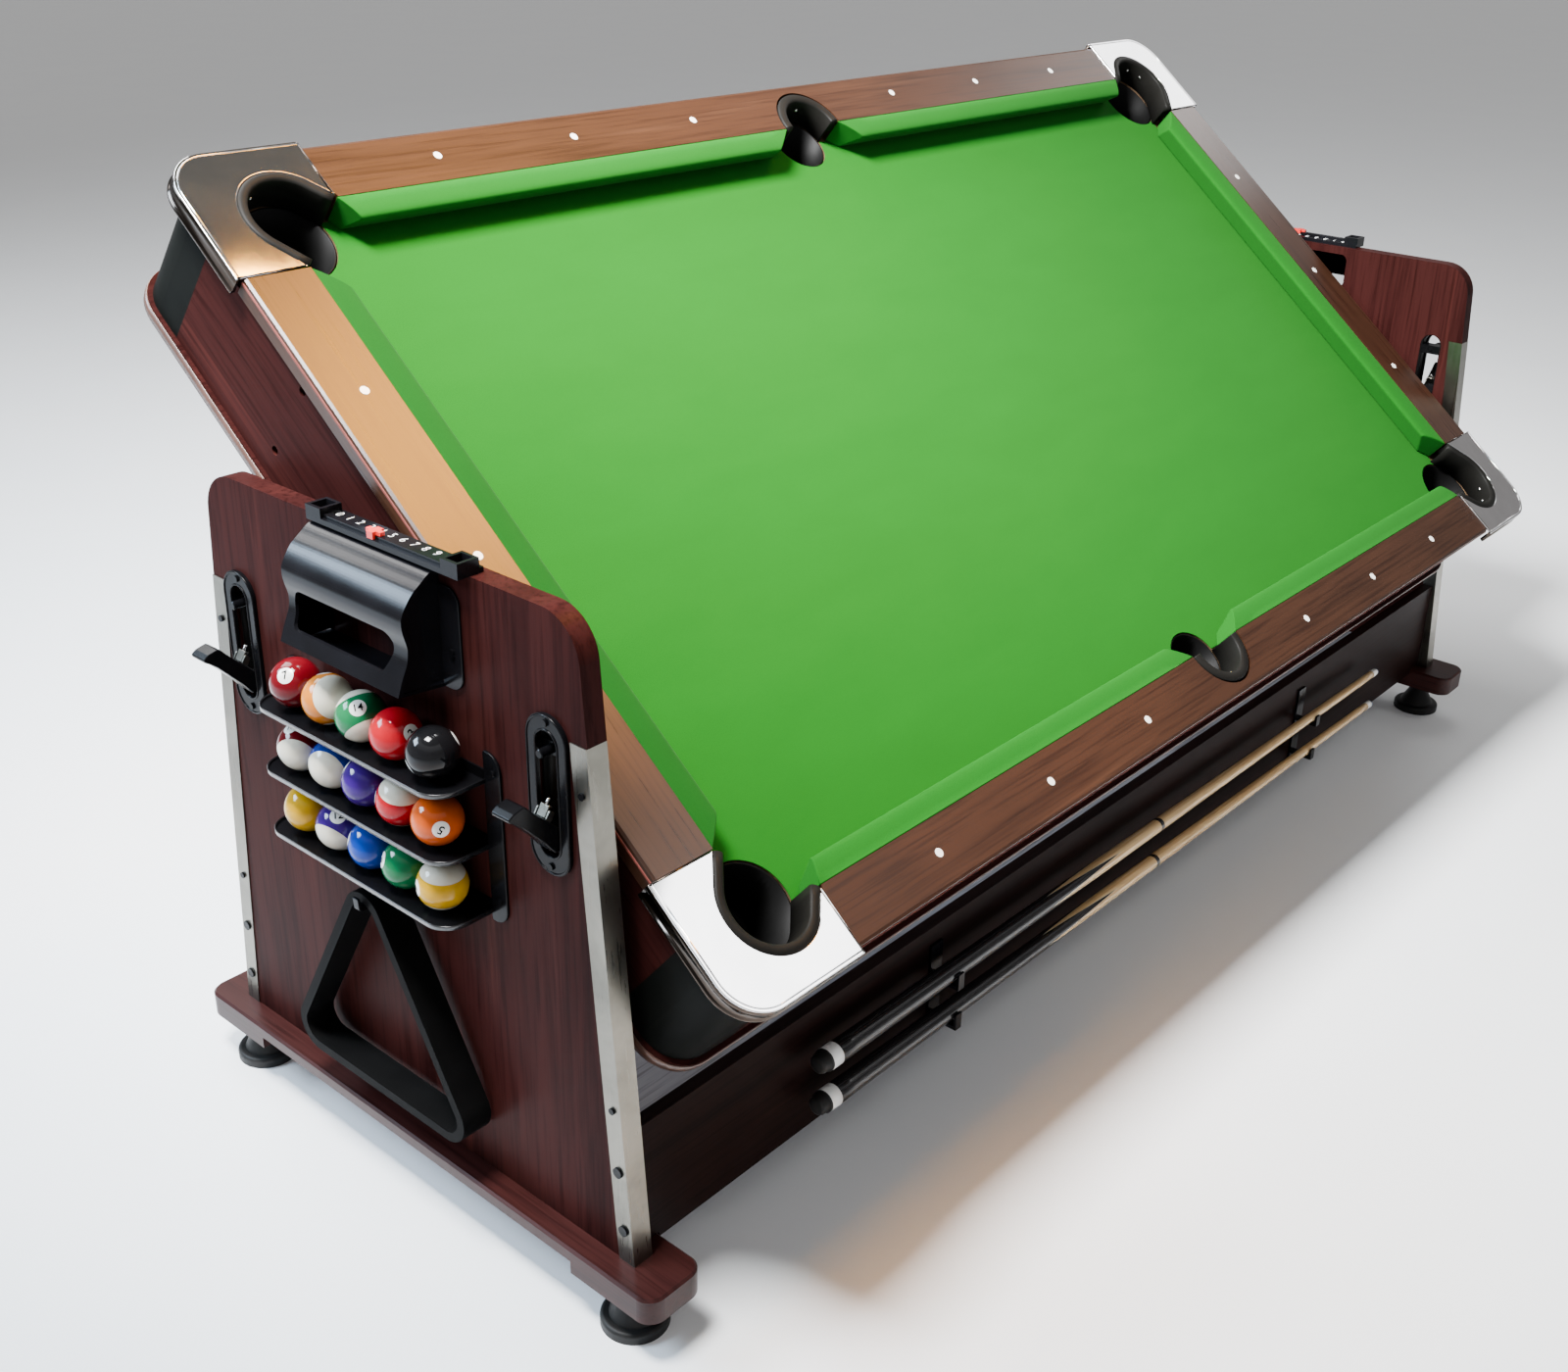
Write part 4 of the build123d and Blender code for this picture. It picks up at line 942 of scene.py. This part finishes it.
def ball_rack():
    """Three thin lipped trays carried by an upright strip at each end, and the triangle's hook."""
    back = -PANEL_OUT

    def part(name, outline, depth, to_world, bevel=0.0, segments=3):
        return slab(name, outline, depth, to_world, "black_metal", "stand", "black_plastic", bevel, segments)

    for tag, y0, y1, radii in (("a", -0.190, -0.164, (0.020, 0.003, 0.003, 0.020)),
                               ("b", 0.160, 0.186, (0.003, 0.020, 0.020, 0.003))):
        outline = filleted([(y0, 0.4555), (y1, 0.4555), (y1, 0.6620), (y0, 0.6620)], radii)
        strip = part(f"rack_strip_{tag}", outline, 0.0036, lambda a, b, d: Vector((back - d, a, b)), 0.0012)
    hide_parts("ball_rack")
    half, r = 0.1640, 0.030
    front = back - 0.0680
    lip = [(-0.0008, -0.0024), (0.0006, -0.0024), (0.0008, 0.0016), (0.0010, 0.0024), (0.0005, 0.0030),
           (-0.0002, 0.0028), (-0.0008, 0.0018)]
    path = [(back - 0.002, RACK_Y + half)]
    path += arc(front + r, RACK_Y + half - r, r, 90, 180, 12)
    path += arc(front + r, RACK_Y - half + r, r, 180, 270, 12)
    path += [(back - 0.002, RACK_Y - half)]
    for k, z in enumerate(ROWS):
        floor = z - BALL_R - 0.0008
        mesh = sweep(f"rack_lip_{k}", [Vector((x, y, floor)) for x, y in path], lip, UP)
        add_piece(f"rack_lip_{k}", mesh, M["enamel"], "stand", "black_plastic")
        part(f"rack_floor_{k}", path, 0.0020, lambda a, b, d: Vector((a, b, floor - 0.0022 + d)))
        low, high = floor - 0.002, floor + 0.012
        rear = filleted([(-0.1620, low), (0.1580, low), (0.1580, high), (-0.1620, high)], [0.002] * 4)
        part(f"rack_rear_{k}", rear, 0.0018, lambda a, b, d: Vector((back - 0.0004 - d, a, b)))
    strap = [(0.0, 0.018), (0.0, -0.060), (0.002, -0.060), (0.002, -0.0452), (0.050, -0.0452),
             (0.0535, -0.0425), (0.0545, -0.028), (0.0510, -0.028), (0.0500, -0.0392), (0.004, -0.0392),
             (0.004, 0.018)]

    def at_hook(a, b, d):
        return Vector((back - a - 0.0001, 0.010 + d, 0.455 + b))

    part("rack_hook", strap, 0.010, at_hook, 0.0008, 2)


# number: (column, row, colour, decal (right, up), cap direction (right, up), digit turn in degrees)
BALLS = {
    7: (0, 0, (0.105, 0.0022, 0.0060), (-0.15, 0.26), None, 22),
    13: (1, 0, (0.558, 0.167, 0.0124), (0.05, 0.97), (0.62, 0.12), 10),
    14: (2, 0, (0.0062, 0.149, 0.0496), (0.00, 0.48), (0.42, -0.87), 12),
    3: (3, 0, (0.400, 0.0035, 0.0130), (0.72, 0.05), None, 60),
    8: (4, 0, (0.00496, 0.00496, 0.00558), (-0.95, -0.6), None, 0),
    15: (0, 1, (0.105, 0.0022, 0.0060), (-0.30, 0.78), (-0.20, -0.66), 20),
    10: (1, 1, (0.00372, 0.0279, 0.26), (0.10, 0.90), (-0.36, -0.48), 15),
    4: (2, 1, (0.0403, 0.00744, 0.161), (-0.9, 0.6), None, 0),
    11: (3, 1, (0.400, 0.0035, 0.0130), (-0.75, 0.50), (0.14, 0.74), 0),
    5: (4, 1, (0.558, 0.0806, 0.00744), (0.30, -0.33), None, 155),
    1: (0, 2, (0.57, 0.31, 0.00248), (-0.9, -0.7), None, 0),
    12: (1, 2, (0.0403, 0.00744, 0.161), (0.13, 0.50), (-0.42, -0.80), 5),
    2: (2, 2, (0.00248, 0.0372, 0.31), (-0.95, 0.25), None, 0),
    6: (3, 2, (0.00248, 0.136, 0.0465), (-0.90, 0.18), None, 60),
    9: (4, 2, (0.57, 0.31, 0.00248), (-0.88, 0.02), (0.10, 0.86), 70),
}


def facing(right, up):
    """Unit direction on a ball, from how far right and up of its middle the camera sees the spot."""
    lift = 1 - min(0.98, right * right + up * up)
    return (-CAM_F * math.sqrt(max(0.02, lift)) + CAM_R * right + CAM_U * up).normalized()


def project(mesh, direction, turn, radius):
    """Wrap a flat mesh round the ball at a direction, turned about that direction."""
    y_axis = (CAM_U - direction * CAM_U.dot(direction)).normalized()
    x_axis = y_axis.cross(direction).normalized()
    spin = Matrix.Rotation(math.radians(turn), 3, direction)
    x_axis, y_axis = spin @ x_axis, spin @ y_axis
    for v in mesh.vertices:
        flat = x_axis * v.co.x + y_axis * v.co.y
        angle = flat.length / BALL_R
        side = flat.normalized() if flat.length > 1e-9 else x_axis
        v.co = (direction * math.cos(angle) + side * math.sin(angle)) * radius


def disc_mesh(name, r, rings=6, steps=40):
    verts = [(0, 0, 0)]
    faces = []
    for i in range(1, rings + 1):
        for k in range(steps):
            a = 2 * math.pi * k / steps
            verts.append((r * i / rings * math.cos(a), r * i / rings * math.sin(a), 0))
    for k in range(steps):
        faces.append((0, 1 + k, 1 + (k + 1) % steps))
    for i in range(rings - 1):
        a, b = 1 + i * steps, 1 + (i + 1) * steps
        for k in range(steps):
            j = (k + 1) % steps
            faces.append((a + k, b + k, b + j, a + j))
    mesh = bpy.data.meshes.new(name)
    mesh.from_pydata(verts, [], faces)
    return mesh


def ball_number(name, number, k, way, turn, at):
    """White disc with a ball's number on it, wrapped round the ball in one direction."""
    spot = disc_mesh(f"{name}_spot_{k}", 0.0094)
    project(spot, way, turn, BALL_R + 0.00006)
    add_piece(f"{name}_spot_{k}", spot, M["ivory"], name, name, matrix=at)
    digit = text_mesh(f"{name}_digit_{k}", str(number), 0.0132 if number < 10 else 0.0116, thinned=-0.012)
    bm = bmesh.new()
    bm.from_mesh(digit)
    bmesh.ops.subdivide_edges(bm, edges=bm.edges, cuts=1)
    bmesh.ops.triangulate(bm, faces=bm.faces)
    bm.to_mesh(digit)
    bm.free()
    project(digit, way, turn, BALL_R + 0.00032)
    add_piece(f"{name}_digit_{k}", digit, M["black_metal"], name, name, matrix=at)


def balls():
    for number, (col, row, color, spot, cap, turn) in BALLS.items():
        direction = facing(*spot)
        axis = UP
        if cap:
            axis = facing(*cap)
            direction = (direction - axis * axis.dot(direction)).normalized()
        name = f"ball_{number:02d}"
        bm = bmesh.new()
        bmesh.ops.create_icosphere(bm, subdivisions=5, radius=BALL_R)
        mesh = bpy.data.meshes.new(f"{name}_resin")
        bm.to_mesh(mesh)
        bm.free()
        at = Matrix.Translation((-1.110, RACK_Y + (2 - col) * 0.060, ROWS[row]))
        ball = add_piece(f"{name}_resin", mesh, ball_paint(number, color, axis), name, name, matrix=at)
        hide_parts(name)
        for k, way in enumerate((direction, -direction)):
            ball_number(name, number, k, way, turn, at)


def scorer_digits():
    """White counting digits along each scorer's strip, read from outside."""
    for tag, sx in (("a", -1), ("b", 1)):
        outward = Vector((sx, 0, 0))
        along = Vector((0, sx, 0))
        rot = Matrix((along, -outward, UP)).transposed().to_4x4()
        for k in range(10):
            digit = text_mesh(f"score_{tag}_{k}", str(k), 0.0150, 0.0002, 0.016)
            y = sx * 0.0185 + sx * (k - 4.5) * 0.0180
            digit.transform(Matrix.Translation((sx * 1.0690, y, 0.8574)) @ rot)
            add_piece(f"score_{tag}_{k}", digit, M["white"], "stand", "ivory", smooth=False)


LEVER_SIDE = [(-0.008, 0.588), (0.0085, 0.588), (0.021, 0.604), (0.036, 0.620), (0.050, 0.635),
              (0.060, 0.643), (0.0655, 0.6465), (0.0662, 0.6500), (0.0600, 0.6545), (0.0470, 0.6575),
              (0.0430, 0.6550), (0.0360, 0.6470), (0.025, 0.6365), (0.012, 0.6245), (0.002, 0.614),
              (-0.008, 0.606)]
LINK_SIDE = [(0.0125, 0.6262), (0.0155, 0.6290), (0.0085, 0.6400), (0.0040, 0.6372)]
FORK_SIDE = [(0.0095, 0.6225), (0.0165, 0.6280), (0.0105, 0.6370), (0.0040, 0.6320)]


def plate_rim(name, sx, y):
    """Raised bead round a latch plate and round its slot, and a near-black sleeve of painted shade inside the
    slot.
    """
    out = Vector((sx, 0, 0))
    bead = round_bead(0.0013)
    for tag, half, low, high in (("edge", 0.0285, 0.5575, 0.7365), ("slot", 0.0162, 0.5758, 0.7212)):
        pts = arc(y, high - half, half, 0, 180, 16) + arc(y, low + half, half, 180, 360, 16)
        path = [Vector((sx * (PANEL_OUT + 0.0040), a, b)) for a, b in pts]
        mesh = sweep(f"{name}_{tag}", path, bead, out, closed=True)
        add_piece(f"{name}_{tag}", mesh, M["black_metal"], "stand", "blackened_steel")
    # near-black sleeve lining the slot: painted shade in the slot, also covering the panel's cut edge
    wall = [(-0.0008, -0.0095), (0.0008, -0.0095), (0.0008, 0.0095), (-0.0008, 0.0095)]
    pts = arc(y, 0.7238 - 0.0178, 0.0178, 0, 180, 20) + arc(y, 0.5672 + 0.0178, 0.0178, 180, 360, 20)
    path = [Vector((sx * 1.0600, a, b)) for a, b in pts]
    sleeve = sweep(f"{name}_sleeve", path, wall, out, closed=True)
    add_piece(f"{name}_sleeve", sleeve, M["pit_shade"], "stand", "blackened_steel")


def latch_lever(tag, sx, y):
    """Wedge-shaped handle with a flat paddle tip, a hinge pin and a bright clip with its rod."""
    body = f"latch_lever_{tag}"

    def place(a, b, d):
        return Vector((sx * (PANEL_OUT + a), y + d, b))

    def part(name, side, width, middle, look, slot, bevel=0.0, segments=3):
        """A side outline given a width across the lever, about a middle plane."""
        def to_world(a, b, d):
            return place(a, b, middle - width / 2 + d)
        return slab(name, side, width, to_world, look, body, slot, bevel, segments)

    handle = part(f"handle_{tag}", LEVER_SIDE, 0.027, 0.0, "black_metal", "blackened_steel", 0.0016)
    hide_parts(body)
    part(f"clip_{tag}", LINK_SIDE, 0.0125, 0.0, "alloy", "steel", 0.0007, 2)
    for k, middle in enumerate((-0.0085, 0.0085)):
        part(f"fork_{tag}_{k}", filleted(FORK_SIDE, [0.002] * 4), 0.0018, middle, "alloy", "steel")
    start, stop = Vector((0.0075, 0, 0.6375)), Vector((0.0032, 0, 0.6440))
    length = (stop - start).length
    rot = (stop - start).to_track_quat("X", "Y").to_matrix().to_4x4()
    rod = lathe(f"link_rod_{tag}", [(-0.004, 0.0016), (length, 0.0016), (length + 0.0008, 0.0010)], 20)
    rod.transform(Matrix.Translation(start) @ rot)
    for v in rod.vertices:
        v.co = place(v.co.x, v.co.z, v.co.y)
    add_piece(f"link_rod_{tag}", rod, M["steel"], body, "steel")
    pin = lathe(f"hinge_pin_{tag}", [(-0.0184, 0.0027), (0.0184, 0.0027)], 24)
    across = Matrix.Rotation(math.radians(90), 4, "Z")
    pin.transform(Matrix.Translation((sx * (PANEL_OUT - 0.002), y, 0.595)) @ across)
    add_piece(f"hinge_pin_{tag}", pin, M["steel"], body, "steel")


def latches():
    for end, sx in (("left", -1), ("right", 1)):
        for side, sy in (("front", -1), ("back", 1)):
            plate_rim(f"plate_{end}_{side}", sx, sy * LATCH_Y)
            latch_lever(f"{end}_{side}", sx, sy * LATCH_Y)


def cues():
    """Turned cues: rubber bumper, white ring, spliced butt, joint ring, ferrule and tip."""
    for name, (butt_z, tip_z) in (("cue_upper", (0.202, 0.186)), ("cue_lower", (0.140, 0.122))):
        start = Vector((-0.782, -0.379, butt_z))
        end = Vector((0.768, -0.379, tip_z))
        length = (end - start).length
        along = (end - start).normalized()
        side = Vector((0, 1, 0))
        rot = Matrix((along, side, along.cross(side))).transposed().to_4x4()
        place = Matrix.Translation(start) @ rot

        def radius(x):
            return 0.0149 - 0.0088 * (x / length) ** 0.9

        stations = [0.034 + (length - 0.054) * i / 60 for i in range(61)]
        turned = {
            "shaft": ([(x, radius(x)) for x in stations], 48, "cue"),
            "bumper": ([(0.0, 0.0085), (0.0012, 0.0112), (0.004, 0.0124), (0.012, 0.0128),
                        (0.012, 0.0142), (0.0135, 0.0148), (0.016, 0.0148)], 48, "rubber"),
            "ring": ([(0.0162, 0.0146), (0.0168, 0.01490), (0.0338, 0.01490)], 48, "white"),
            "ferrule": ([(length - 0.0198, radius(length - 0.02) + 0.0002),
                         (length - 0.005, radius(length) + 0.0001)], 40, "ivory"),
            "tip": ([(length - 0.005, 0.0060), (length - 0.002, 0.0059), (length - 0.0008, 0.0048),
                     (length, 0.0025)], 40, "tip"),
        }
        for tag, (rings, steps, look) in turned.items():
            mesh = lathe(f"{name}_{tag}", rings, steps)
            piece = add_piece(f"{name}_{tag}", mesh, M[look], name, "cue_wood", place)
            if tag == "shaft":
                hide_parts(name)


# ---------------------------------------------------------------- build
add_camera()
add_world()
add_floor()
add_lights()
dress_cad()
bed_cloth()
cushions()
edge_lines()
corner_caps()
pocket_liners()
pocket_screws()
goal_boxes()
ball_rack()
balls()
scorer_digits()
latches()
cues()
